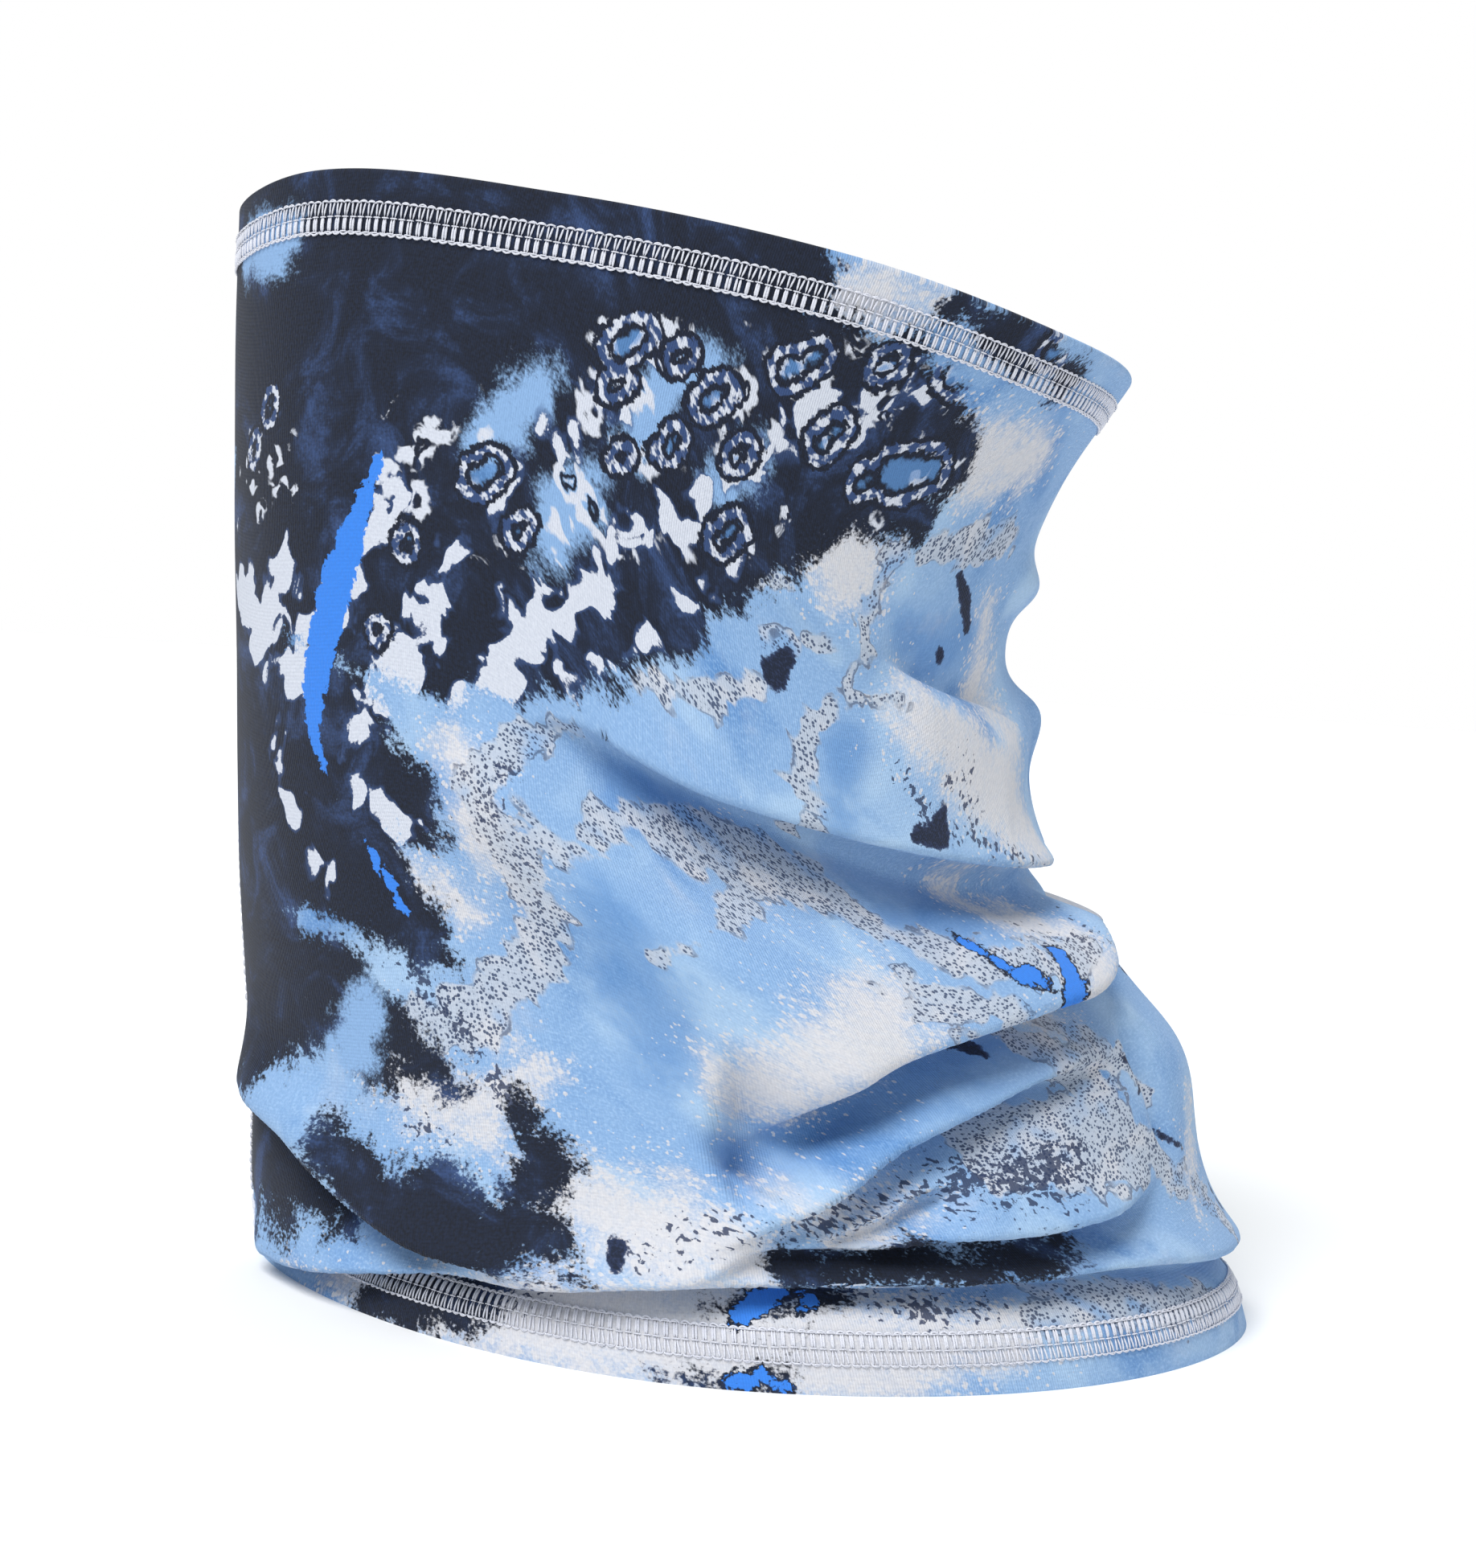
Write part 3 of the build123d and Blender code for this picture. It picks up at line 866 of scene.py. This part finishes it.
        ((-226, 56, 6), (-212, 50, 11), (-198, 48, 9), (-186, 58, 7)),
        ((-186, 120, 7), (-182, 108, 9), (-176, 96, 7)),
        ((-214, 100, 4), (-202, 92, 7), (-192, 88, 6)),
        ((-256, 6, 6), (-225, 4, 9), (-190, 10, 15), (-160, 9, 15), (-120, 9, 13), (-95, 12, 9)),
        ((-104, 226, 9), (-88, 231, 7)),
        ((-130, 226, 5), (-120, 222, 7)),
        ((-128, 34, 5), (-112, 40, 5), (-140, 40, 4)),
        ((-30, 34, 3), (-20, 44, 5), (-14, 56, 3)),
        ((-120, 110, 3), (-122, 100, 4)),
    ),
    "speckle": (
        ((-212, 76, 8), (-200, 62, 8), (-190, 50, 8)),
        ((-226, 52, 7), (-208, 40, 6)),
        ((-100, 44, 9), (-80, 46, 10), (-66, 50, 8)),
        ((-168, 27, 6), (-150, 34, 6), (-128, 38, 7), (-108, 44, 6)),
        ((-79, 134, 5), (-73, 127, 6.5), (-66, 122, 6)),
        ((-64, 132, 6), (-56, 138, 6), (-60, 122, 7), (-40, 118, 5)),
        ((-178, 112, 8), (-170, 122, 5)),
        ((-52, 100, 6), (-36, 96, 5), (-30, 108, 5)),
        ((-130, 220, 6), (-112, 218, 6)),
        ((-122, 17, 6), (-110, 16, 8), (-96, 18, 7)),
        ((-200, 8, 5), (-190, 14, 5)),
        ((-120, 231, 4), (-108, 229, 3)),
    ),
}
# For the other side: how many strokes of each zone, their radius, and the spacing of a stroke's points.
FAR_STROKES = {
    "acid": (16, 7, 15),
    "blot": (9, 1.6, 5),
    "blue_pool": (9, 6, 14),
    "cells": (12, 11, 22),
    "cloud": (14, 11, 22),
    "dark": (13, 19, 34),
    "deep": (12, 9, 20),
    "electric": (4, 3, 9),
    "eyes": (24, 4, 2),
    "speckle": (14, 8, 17),
    "stipple": (20, 5, 12),
}
NOSE_MARGIN = 18  # strokes of the other side fade out this far before they reach the nose
FAR_GIRTHS, FAR_HEIGHTS = (8, 290), (5, 228)  # where those strokes begin
FAR_SLANT, SLANT_SPREAD, BEND = 125, 22, 0.4  # their direction, how it varies, and how much they wind
FAR_SIZES = (0.5, 1.2)  # the smallest and the largest, as parts of the radius and spacing above
FAR_WIDTHS = (0.5, 1.0, 0.9, 0.3)  # from one end of a stroke to the other, as parts of its radius
FIRST_SEED = 21  # each zone scatters its strokes from its own seed, this one or a little more
NOT_INSIDE = -60.0  # what a place far from every stroke is given


def inside_strokes(strokes, girth, height):
    """How far each place lies inside the nearest stroke, in millimetres: negative outside."""
    best = np.full(girth.shape, NOT_INSIDE)
    for stroke in strokes:
        stops = np.array(stroke, float)
        for start, end in zip(stops[:-1], stops[1:]):
            run = end[:2] - start[:2]
            offset_girth, offset_height = girth - start[0], height - start[1]
            t = np.clip((offset_girth * run[0] + offset_height * run[1]) / (run @ run), 0, 1)
            gap = np.hypot(offset_girth - t * run[0], offset_height - t * run[1])
            np.maximum(best, start[2] + t * (end[2] - start[2]) - gap, out=best)
    return best


def far_strokes(zone):
    """Strokes of the same kind scattered over the other side, in the print's slanting direction."""
    scatter = np.random.default_rng(sorted(FAR_STROKES).index(zone) + FIRST_SEED)
    count, radius, spacing = FAR_STROKES[zone]
    strokes = []
    for _ in range(count):
        girth, height = scatter.uniform(*FAR_GIRTHS), scatter.uniform(*FAR_HEIGHTS)
        turn = math.radians(scatter.normal(FAR_SLANT, SLANT_SPREAD))
        size = scatter.uniform(*FAR_SIZES)
        stroke = []
        for width in FAR_WIDTHS:
            stroke.append((girth, height, radius * size * width))
            girth += size * spacing * math.cos(turn)
            height += size * spacing * math.sin(turn)
            turn += scatter.normal(0, BEND)
        strokes.append(stroke)
    return strokes


def print_zones(girth, height):
    """For each zone of the print, how far inside it each place is."""
    beyond_nose = np.maximum(NOSE_MARGIN - girth, 0)
    zones = {}
    for zone, strokes in NEAR_SIDE.items():
        near = inside_strokes(strokes, girth, height)
        far = inside_strokes(far_strokes(zone), girth, height) - beyond_nose
        zones[zone] = np.maximum(near, far)
    return zones


# ---------------------------------------------------------------- materials

# Sizes of noise are in millimetres of cloth. The limits between which a colour rises are millimetres
# inside a zone, or values of a noise, which is about 0 and mostly within 1 of it.


def tint(red, green, blue):
    """A colour told as sRGB 0 to 255, in the linear values that shaders take."""
    levels = (value / 255 for value in (red, green, blue))
    return (*(v / 12.92 if v <= 0.04045 else ((v + 0.055) / 1.055) ** 2.4 for v in levels), 1)


NAVY = tint(26, 29, 38)
NAVY_LIGHT = tint(58, 80, 124)
SKY = tint(136, 171, 212)
# the print's deeper sky blue, also used as painted shade in the hollows under the folds
SKY_DEEP = tint(92, 139, 194)
SKY_PALE = tint(168, 196, 224)
WHITE = tint(210, 209, 212)
ACID_GREY = tint(206, 210, 220)
STIPPLE_GREY = tint(186, 194, 206)
STIPPLE_DOT = tint(44, 54, 82)
ELECTRIC = tint(58, 130, 226)
KNIT_BACK = tint(196, 206, 222)
KNIT_BACK_SHADE = tint(150, 172, 206)
THREAD_WHITE = tint(226, 227, 235)
THREAD_SHADE = tint(196, 199, 214)
FLOOR_WHITE = (0.93, 0.93, 0.93, 1)

FLECK_SLANT = -24  # degrees by which the rings and flecks of the navy side lean
RING_SIZE, FLECK_SIZE = (9.0, 12.0), (6.5, 9.5)  # across the slant and along it
RING_SHIFT, RING_SHIFT_SIZE = (0.7, 0.7, 0), 5.0  # how far noise moves the rings, and its size
KNIT_DEPTH, THREAD_DEPTH = 0.035, 0.03  # of the finest relief

MIX_FIRST, MIX_SECOND, MIX_RESULT = 6, 7, 2  # the colour sockets of a Mix node


class Look:
    """A material under construction. Inputs of its methods are numbers, colours or other outputs."""

    def __init__(self, name, roughness, specular=0.25, sheen=0.0):
        self.material = bpy.data.materials.new(name)
        self.material.use_nodes = True
        self.tree = self.material.node_tree
        self.shader = self.tree.nodes["Principled BSDF"]
        self.shader.inputs["Roughness"].default_value = roughness
        self.shader.inputs["Specular IOR Level"].default_value = specular
        self.shader.inputs["Sheen Weight"].default_value = sheen
        self.shader.inputs["Sheen Roughness"].default_value = 0.4

    def put(self, socket, value):
        """Links an output to the socket, or sets the socket's own value."""
        if isinstance(value, bpy.types.NodeSocket):
            self.tree.links.new(value, socket)
        else:
            socket.default_value = value

    def math(self, operation, *values):
        """The result of a Math node."""
        node = self.tree.nodes.new("ShaderNodeMath")
        node.operation = operation
        for socket, value in zip(node.inputs, values):
            self.put(socket, value)
        return node.outputs[0]

    def times(self, first, second):
        """The product of two values."""
        return self.math("MULTIPLY", first, second)

    def plus(self, value, scale, rest):
        """The value times the scale, plus the rest."""
        return self.math("MULTIPLY_ADD", value, scale, rest)

    def split(self, place):
        """How far across the cloth and how far up it a place is."""
        node = self.tree.nodes.new("ShaderNodeSeparateXYZ")
        self.put(node.inputs[0], place)
        return node.outputs["X"], node.outputs["Y"]

    def wave(self, value, pitch):
        """Rises and falls between -1 and 1 with this pitch."""
        return self.math("SINE", self.times(value, 2 * math.pi / pitch))

    def attribute(self, name, output="Fac"):
        """What the mesh says under this name."""
        node = self.tree.nodes.new("ShaderNodeAttribute")
        node.attribute_name = name
        return node.outputs[output]

    def rise(self, value, low, high):
        """0 at low, 1 at high, and a smooth step between them, whichever is the greater."""
        node = self.tree.nodes.new("ShaderNodeMapRange")
        node.interpolation_type = "SMOOTHSTEP"
        self.put(node.inputs["Value"], value)
        self.put(node.inputs["From Min"], min(low, high))
        self.put(node.inputs["From Max"], max(low, high))
        if low > high:
            return self.math("SUBTRACT", 1.0, node.outputs["Result"])
        return node.outputs["Result"]

    def noise(self, place, size, detail=3.0, rough=0.55, warp=0.0):
        """Noise about 0 and mostly within 1 of it, with features of this size in millimetres."""
        node = self.tree.nodes.new("ShaderNodeTexNoise")
        self.put(node.inputs["Vector"], place)
        node.inputs["Scale"].default_value = 1 / size
        node.inputs["Detail"].default_value = detail
        node.inputs["Roughness"].default_value = rough
        node.inputs["Distortion"].default_value = warp
        return self.times(self.math("SUBTRACT", node.outputs["Fac"], 0.5), 5.0)

    def cells(self, place, size, scatter=1.0):
        """Distance to the nearest of scattered points this far apart, in parts of that spacing."""
        node = self.tree.nodes.new("ShaderNodeTexVoronoi")
        self.put(node.inputs["Vector"], place)
        node.inputs["Scale"].default_value = 1 / size
        node.inputs["Randomness"].default_value = scatter
        return node.outputs["Distance"]

    def slant(self, place, degrees, wide, long):
        """The place measured along and across a slanting direction, shrunk by these sizes."""
        node = self.tree.nodes.new("ShaderNodeMapping")
        node.vector_type = "TEXTURE"
        self.put(node.inputs["Vector"], place)
        node.inputs["Rotation"].default_value[2] = math.radians(degrees)
        node.inputs["Scale"].default_value = (wide, long, 1)
        return node.outputs[0]

    def mix(self, first, second, factor):
        """The first colour at factor 0 and the second at 1."""
        node = self.tree.nodes.new("ShaderNodeMix")
        node.data_type = "RGBA"
        self.put(node.inputs["Factor"], factor)
        self.put(node.inputs[MIX_FIRST], first)
        self.put(node.inputs[MIX_SECOND], second)
        return node.outputs[MIX_RESULT]

    def lay(self, ground, colour, value, low, high, strength=1.0):
        """The ground, with a colour over it where the value rises from low to high."""
        factor = self.rise(value, low, high)
        if strength != 1.0:
            factor = self.times(factor, strength)
        return self.mix(ground, colour, factor)

    def bump(self, height, depth):
        """Relief this many millimetres deep."""
        node = self.tree.nodes.new("ShaderNodeBump")
        node.inputs["Distance"].default_value = depth * MM
        self.put(node.inputs["Height"], height)
        self.put(self.shader.inputs["Normal"], node.outputs["Normal"])

    def colour(self, value):
        """The material's base colour."""
        self.put(self.shader.inputs["Base Color"], value)


def ragged(look, place, zone, wander, size, fray=0.0, detail=4.0):
    """A zone's depth, with its edge made to wander and then frayed by these many millimetres."""
    depth = look.plus(look.noise(place, size, detail, 0.6, 0.6), wander, look.attribute(zone))
    return look.plus(look.noise(place, 1.1, 2.0), fray, depth)


def knit_relief(look, place):
    """Fine wales up the cloth and a soft unevenness."""
    across, up = look.split(place)
    loops = look.plus(look.wave(up, COURSE), 0.4, look.wave(across, WALE))
    look.bump(look.plus(look.noise(place, 1.2, 3.0), 0.8, loops), KNIT_DEPTH)


def printed_knit():
    """The marbled print: sky blue, a navy side with grey flecks, stippled veins and white clouds."""
    look = Look("printed_knit", 0.82, specular=0.2, sheen=0.08)
    place = look.attribute("fabric", "Vector")
    grain = look.noise(place, 0.75, 2.0, 0.6)
    salt = look.noise(place, 1.7, 2.5, 0.55, 0.4)
    drift = look.noise(place, 9, 4.0, 0.6, 0.5)
    surface = look.mix(sky_ground(look, place, grain, salt, drift), *stippled_veins(look, place, grain))
    fleck = look.plus(salt, -5.5, look.attribute("speckle"))
    fleck = look.plus(drift, 2.5, fleck)
    surface = look.lay(surface, STIPPLE_DOT, fleck, 6.6, 8.2, 0.9)
    blot = ragged(look, place, "blot", 0.7, 4, 0.35)
    surface = look.lay(surface, STIPPLE_DOT, blot, -0.5, 0.1)
    blot_core = look.times(look.rise(blot, 0.0, 0.8), look.rise(grain, 0.9, -0.3))
    surface = look.mix(surface, NAVY, blot_core)
    electric = ragged(look, place, "electric", 1.3, 5, 0.5)
    surface = look.lay(surface, NAVY, look.plus(salt, 0.3, electric), -0.9, -0.4)
    surface = look.mix(surface, *navy_side(look, place, grain, salt))
    surface = look.lay(surface, ELECTRIC, electric, -0.15, 0.25)
    surface = look.lay(surface, NAVY_LIGHT, grain, 1.2, -1.2, 0.14)
    look.colour(surface)
    knit_relief(look, place)
    return look.material


def sky_ground(look, place, grain, salt, drift):
    """Mottled sky blue with soft white clouds that are salted round their edges."""
    ground = look.lay(SKY, SKY_PALE, look.noise(place, 34, 3.0, 0.5, 0.8), -0.2, 1.0)
    ground = look.lay(ground, SKY_DEEP, look.noise(place, 27, 3.0, 0.5, 0.5), 0.0, 1.3)
    ground = look.lay(ground, SKY_PALE, grain, -0.4, 1.4, 0.45)
    # deeper blue: the print's own, and painted shade along the hollows under the folds of the near side
    deep = look.plus(drift, 3.5, look.attribute("deep"))
    deep = look.plus(grain, 1.5, deep)
    ground = look.lay(ground, SKY_DEEP, deep, -4.0, 6.0, 0.65)
    mist = look.rise(look.noise(place, 22, 4.0, 0.6, 0.4), 0.4, 1.8)
    ground = look.mix(ground, WHITE, look.times(mist, 0.4))
    cloud = look.plus(drift, 4.0, look.attribute("cloud"))
    cloud = look.plus(grain, 2.0, cloud)
    ground = look.lay(ground, WHITE, cloud, -2.0, 9.0, 0.92)
    spot_size = look.plus(cloud, 0.027, 0.27)
    spot_size = look.plus(salt, 0.16, spot_size)
    spot = look.math("SUBTRACT", look.cells(place, SALT_SPACING), spot_size)
    return look.lay(ground, WHITE, spot, 0.07, -0.07, 0.85)


def stippled_veins(look, place, grain):
    """Dots on a grey ground inside a thin dark outline: the colour, and how much of it shows."""
    vein = ragged(look, place, "stipple", 2.6, 8, 0.25, detail=1.5)
    inside = look.rise(vein, -0.5, 0.8)
    tone = look.lay(STIPPLE_GREY, WHITE, look.noise(place, 11, 2.0), -0.3, 1.3)
    tone = look.lay(tone, SKY, look.noise(place, 17, 2.0), 0.1, 0.8)
    dot_size = look.plus(look.noise(place, 7, 3.0), 0.06, 0.41)
    dot = look.math("SUBTRACT", look.cells(place, DOT_SPACING, 0.75), dot_size)
    dots = look.times(look.rise(dot, 0.08, -0.06), inside)
    rim = look.rise(look.math("ABSOLUTE", vein), 0.55, 0.15)
    rim = look.times(rim, look.rise(look.noise(place, 10, 2.0), -0.3, 0.5))
    ink = look.math("MAXIMUM", look.times(dots, 0.92), look.times(rim, 0.8))
    shown = look.math("MAXIMUM", look.times(inside, 0.9), ink)
    return look.mix(tone, STIPPLE_DOT, ink), shown


def rings(look, place, grain):
    """Small rings in the zone of cells: where their pale cores, their broken rings and the gaps show."""
    wander = look.tree.nodes.new("ShaderNodeTexNoise")
    wander.inputs["Scale"].default_value = 1 / RING_SHIFT_SIZE
    look.put(wander.inputs["Vector"], place)
    warp = look.tree.nodes.new("ShaderNodeVectorMath")
    warp.operation = "MULTIPLY_ADD"
    look.put(warp.inputs[0], wander.outputs["Color"])
    warp.inputs[1].default_value = RING_SHIFT
    look.put(warp.inputs[2], look.slant(place, FLECK_SLANT, *RING_SIZE))
    middle = look.plus(grain, 0.018, look.cells(warp.outputs[0], 1.0))
    core = look.rise(middle, 0.09, 0.05)
    gap = look.times(look.rise(middle, 0.19, 0.15), look.rise(middle, 0.07, 0.11))
    ring = look.times(look.rise(middle, 0.17, 0.22), look.rise(middle, 0.44, 0.36))
    ring = look.times(ring, look.rise(look.noise(place, 5, 1.0), -0.35, -0.1))
    chosen = look.rise(ragged(look, place, "cells", 6.0, 8), -2.0, 0.0)
    return [look.times(part, chosen) for part in (core, ring, gap)]


def eyes(look, place, navy):
    """The navy with large eyes over it: a dark lid, a patchy white and a blue iris."""
    iris = ragged(look, place, "eyes", 0.9, 3.5, 0.25)
    lid = look.times(look.rise(iris, -1.6, -1.2), look.rise(iris, 3.4, 3.0))
    navy = look.mix(navy, NAVY, lid)
    white = look.times(look.rise(iris, -0.2, 0.2), look.rise(iris, 2.0, 1.6))
    patch = look.rise(look.noise(place, 2.6, 2.0), -0.1, 0.35)
    navy = look.mix(navy, NAVY_LIGHT, look.times(white, 0.8))
    navy = look.mix(navy, ACID_GREY, look.times(white, patch))
    return look.lay(navy, SKY_DEEP, iris, 2.9, 4.2, 0.75)


def navy_side(look, place, grain, salt):
    """Navy with faint blue mist, blue pools, ringed eyes and pale flecks: the colour, and where it shows."""
    mist = look.plus(grain, 0.30, look.noise(place, 19, 5.0, 0.65, 0.7))
    navy = look.lay(NAVY, NAVY_LIGHT, mist, -0.1, 1.3, 0.9)
    navy = look.lay(navy, SKY, mist, 1.0, 1.9, 0.7)
    pool = ragged(look, place, "blue_pool", 2.6, 8, 0.9)
    pool = look.plus(grain, 1.3, pool)
    navy = look.lay(navy, SKY, pool, -3.0, 2.2)
    core, ring, gap = rings(look, place, grain)
    navy = look.mix(navy, ACID_GREY, core)
    slanted = look.slant(place, FLECK_SLANT, *FLECK_SIZE)
    acid = look.plus(look.noise(slanted, 1.0, 2.0, 0.45, 0.6), 6.0, look.attribute("acid"))
    acid = look.plus(grain, 0.4, acid)
    navy = look.lay(navy, NAVY_LIGHT, acid, 0.8, 2.8, 0.6)
    navy = look.lay(navy, ACID_GREY, acid, 2.8, 3.5)
    navy = look.mix(navy, ACID_GREY, ring)
    navy = look.mix(navy, NAVY, gap)
    navy = eyes(look, place, navy)
    dark = ragged(look, place, "dark", 4.0, 13, 1.4)
    dark = look.plus(salt, 1.0, dark)
    return navy, look.rise(look.plus(grain, 1.6, dark), -1.6, 1.6)


def knit_back():
    """The unprinted inside of the knit, a pale ghost of the print showing through."""
    look = Look("knit_back", 0.9, specular=0.15, sheen=0.15)
    place = look.attribute("fabric", "Vector")
    ghost = look.rise(ragged(look, place, "dark", 4.0, 13, 1.4), -3.0, 3.0)
    base = look.mix(KNIT_BACK, KNIT_BACK_SHADE, look.times(ghost, 0.8))
    look.colour(look.lay(base, WHITE, look.noise(place, 1.1, 3.0), -0.2, 1.5))
    knit_relief(look, place)
    return look.material


def label_tape():
    """White satin tape: fine ribs across it, a close weave up it, and a firm edge down each side."""
    look = Look("label_tape", 0.55, specular=0.35, sheen=0.1)
    place = look.attribute("fabric", "Vector")
    across, up = look.split(place)
    weave = look.plus(look.wave(across, TAPE_WARP), 0.5, look.wave(up, TAPE_RIB))
    edge = look.rise(look.math("ABSOLUTE", across), LABEL_HALF - SELVAGE_START, LABEL_HALF - SELVAGE)
    tone = look.lay(THREAD_SHADE, THREAD_WHITE, weave, -1.3, 0.6)
    tone = look.mix(tone, THREAD_SHADE, look.times(edge, 0.6))
    worn = look.rise(look.noise(place, 3.0, 3.0), -0.5, 1.5)
    tone = look.mix(tone, WHITE, look.times(worn, 0.4))
    look.colour(tone)
    look.bump(look.plus(edge, 1.5, weave), THREAD_DEPTH)
    return look.material


def sewing_thread():
    """Soft off-white polyester thread."""
    look = Look("sewing_thread", 0.6, specular=0.3, sheen=0.3)
    coordinates = look.tree.nodes.new("ShaderNodeTexCoord").outputs["Object"]
    fibre = look.noise(coordinates, 0.25 * MM, 3.0, 0.7)
    look.colour(look.lay(THREAD_SHADE, THREAD_WHITE, fibre, -1.2, 0.4))
    look.bump(fibre, THREAD_DEPTH)
    return look.material


def floor_paint():
    """Plain matt near-white."""
    look = Look("floor_paint", 0.9)
    look.colour(FLOOR_WHITE)
    return look.material


# ---------------------------------------------------------------- studio

# Name, direction towards it, strength, and how wide it is in the sky, in degrees.
LAMPS = (
    ("key_lamp", (-0.55, -0.8, 1.35), 2.95, 34),
    ("fill_lamp", (1.0, -1.0, 0.35), 0.35, 60),
    ("back_lamp", (0.3, 1.0, 0.8), 0.9, 60),
)
AIR_LIGHT = 0.37  # strength of the studio's pale surroundings
AIR_COLOUR = (0.93, 1.0, 1.05, 1)
FLOOR_HALF = 6.0  # metres

EYE = (-0.003, -0.640, 0.157)  # metres
AIM = (-0.003, 0.0, 0.118)
ROLL = 3.94  # degrees
LENS, SENSOR = 62.7, 36
NEAREST = 0.01  # metres


def sun(name, direction, strength, softness):
    """A lamp far off in this direction, as wide in the sky as a soft box."""
    lamp = bpy.data.lights.new(name, "SUN")
    lamp.energy = strength
    lamp.angle = math.radians(softness)
    holder = bpy.data.objects.new(name, lamp)
    holder.rotation_euler = Vector(direction).to_track_quat("Z", "Y").to_euler()
    bpy.context.scene.collection.objects.link(holder)


def studio():
    """A pale floor, white surroundings and soft lamps."""
    low = cad_low[2]
    half = FLOOR_HALF
    mesh = bpy.data.meshes.new("floor")
    corners = [(-half, -half, low), (half, -half, low), (half, half, low), (-half, half, low)]
    mesh.from_pydata(corners, [], [(0, 1, 2, 3)])
    floor = bpy.data.objects.new("floor", mesh)
    mesh.materials.append(floor_paint())
    bpy.context.scene.collection.objects.link(floor)
    floor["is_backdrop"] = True

    for lamp in LAMPS:
        sun(*lamp)

    world = bpy.data.worlds.new("studio_air")
    world.use_nodes = True
    nodes, links = world.node_tree.nodes, world.node_tree.links
    air = nodes["Background"]
    path = nodes.new("ShaderNodeLightPath")
    tone = nodes.new("ShaderNodeMix")
    tone.data_type = "RGBA"
    tone.inputs[MIX_FIRST].default_value = AIR_COLOUR
    tone.inputs[MIX_SECOND].default_value = (1, 1, 1, 1)
    links.new(path.outputs["Is Camera Ray"], tone.inputs["Factor"])
    links.new(tone.outputs[MIX_RESULT], air.inputs["Color"])
    level = nodes.new("ShaderNodeMapRange")
    level.inputs["To Min"].default_value = AIR_LIGHT
    level.inputs["To Max"].default_value = 1.0
    links.new(path.outputs["Is Camera Ray"], level.inputs["Value"])
    links.new(level.outputs["Result"], air.inputs["Strength"])
    bpy.context.scene.world = world
    bpy.context.scene.view_settings.view_transform = "Standard"


def camera():
    """A view from the wearer's right, level with the upper part of the tube and a little rolled."""
    eye, aim = Vector(EYE), Vector(AIM)
    roll = math.radians(ROLL)
    forward = (aim - eye).normalized()
    right = forward.cross(Vector((0, 0, 1))).normalized()
    up = right.cross(forward)
    rolled_right = right * math.cos(roll) + up * math.sin(roll)
    rolled_up = up * math.cos(roll) - right * math.sin(roll)
    lens = bpy.data.cameras.new("camera")
    lens.lens = LENS
    lens.sensor_width = SENSOR
    lens.sensor_fit = "AUTO"
    lens.clip_start = NEAREST
    holder = bpy.data.objects.new("camera", lens)
    rotation = Matrix((rolled_right, rolled_up, -forward)).transposed()
    holder.matrix_world = Matrix.Translation(eye) @ rotation.to_4x4()
    bpy.context.scene.collection.objects.link(holder)
    bpy.context.scene.camera = holder


camera()
studio()
thread_material = sewing_thread()
sew_hem("bottom")
sew_hem("top")
sew_back_seam()
panel = printed_cloth(printed_knit(), knit_back())
label = care_label(label_tape())
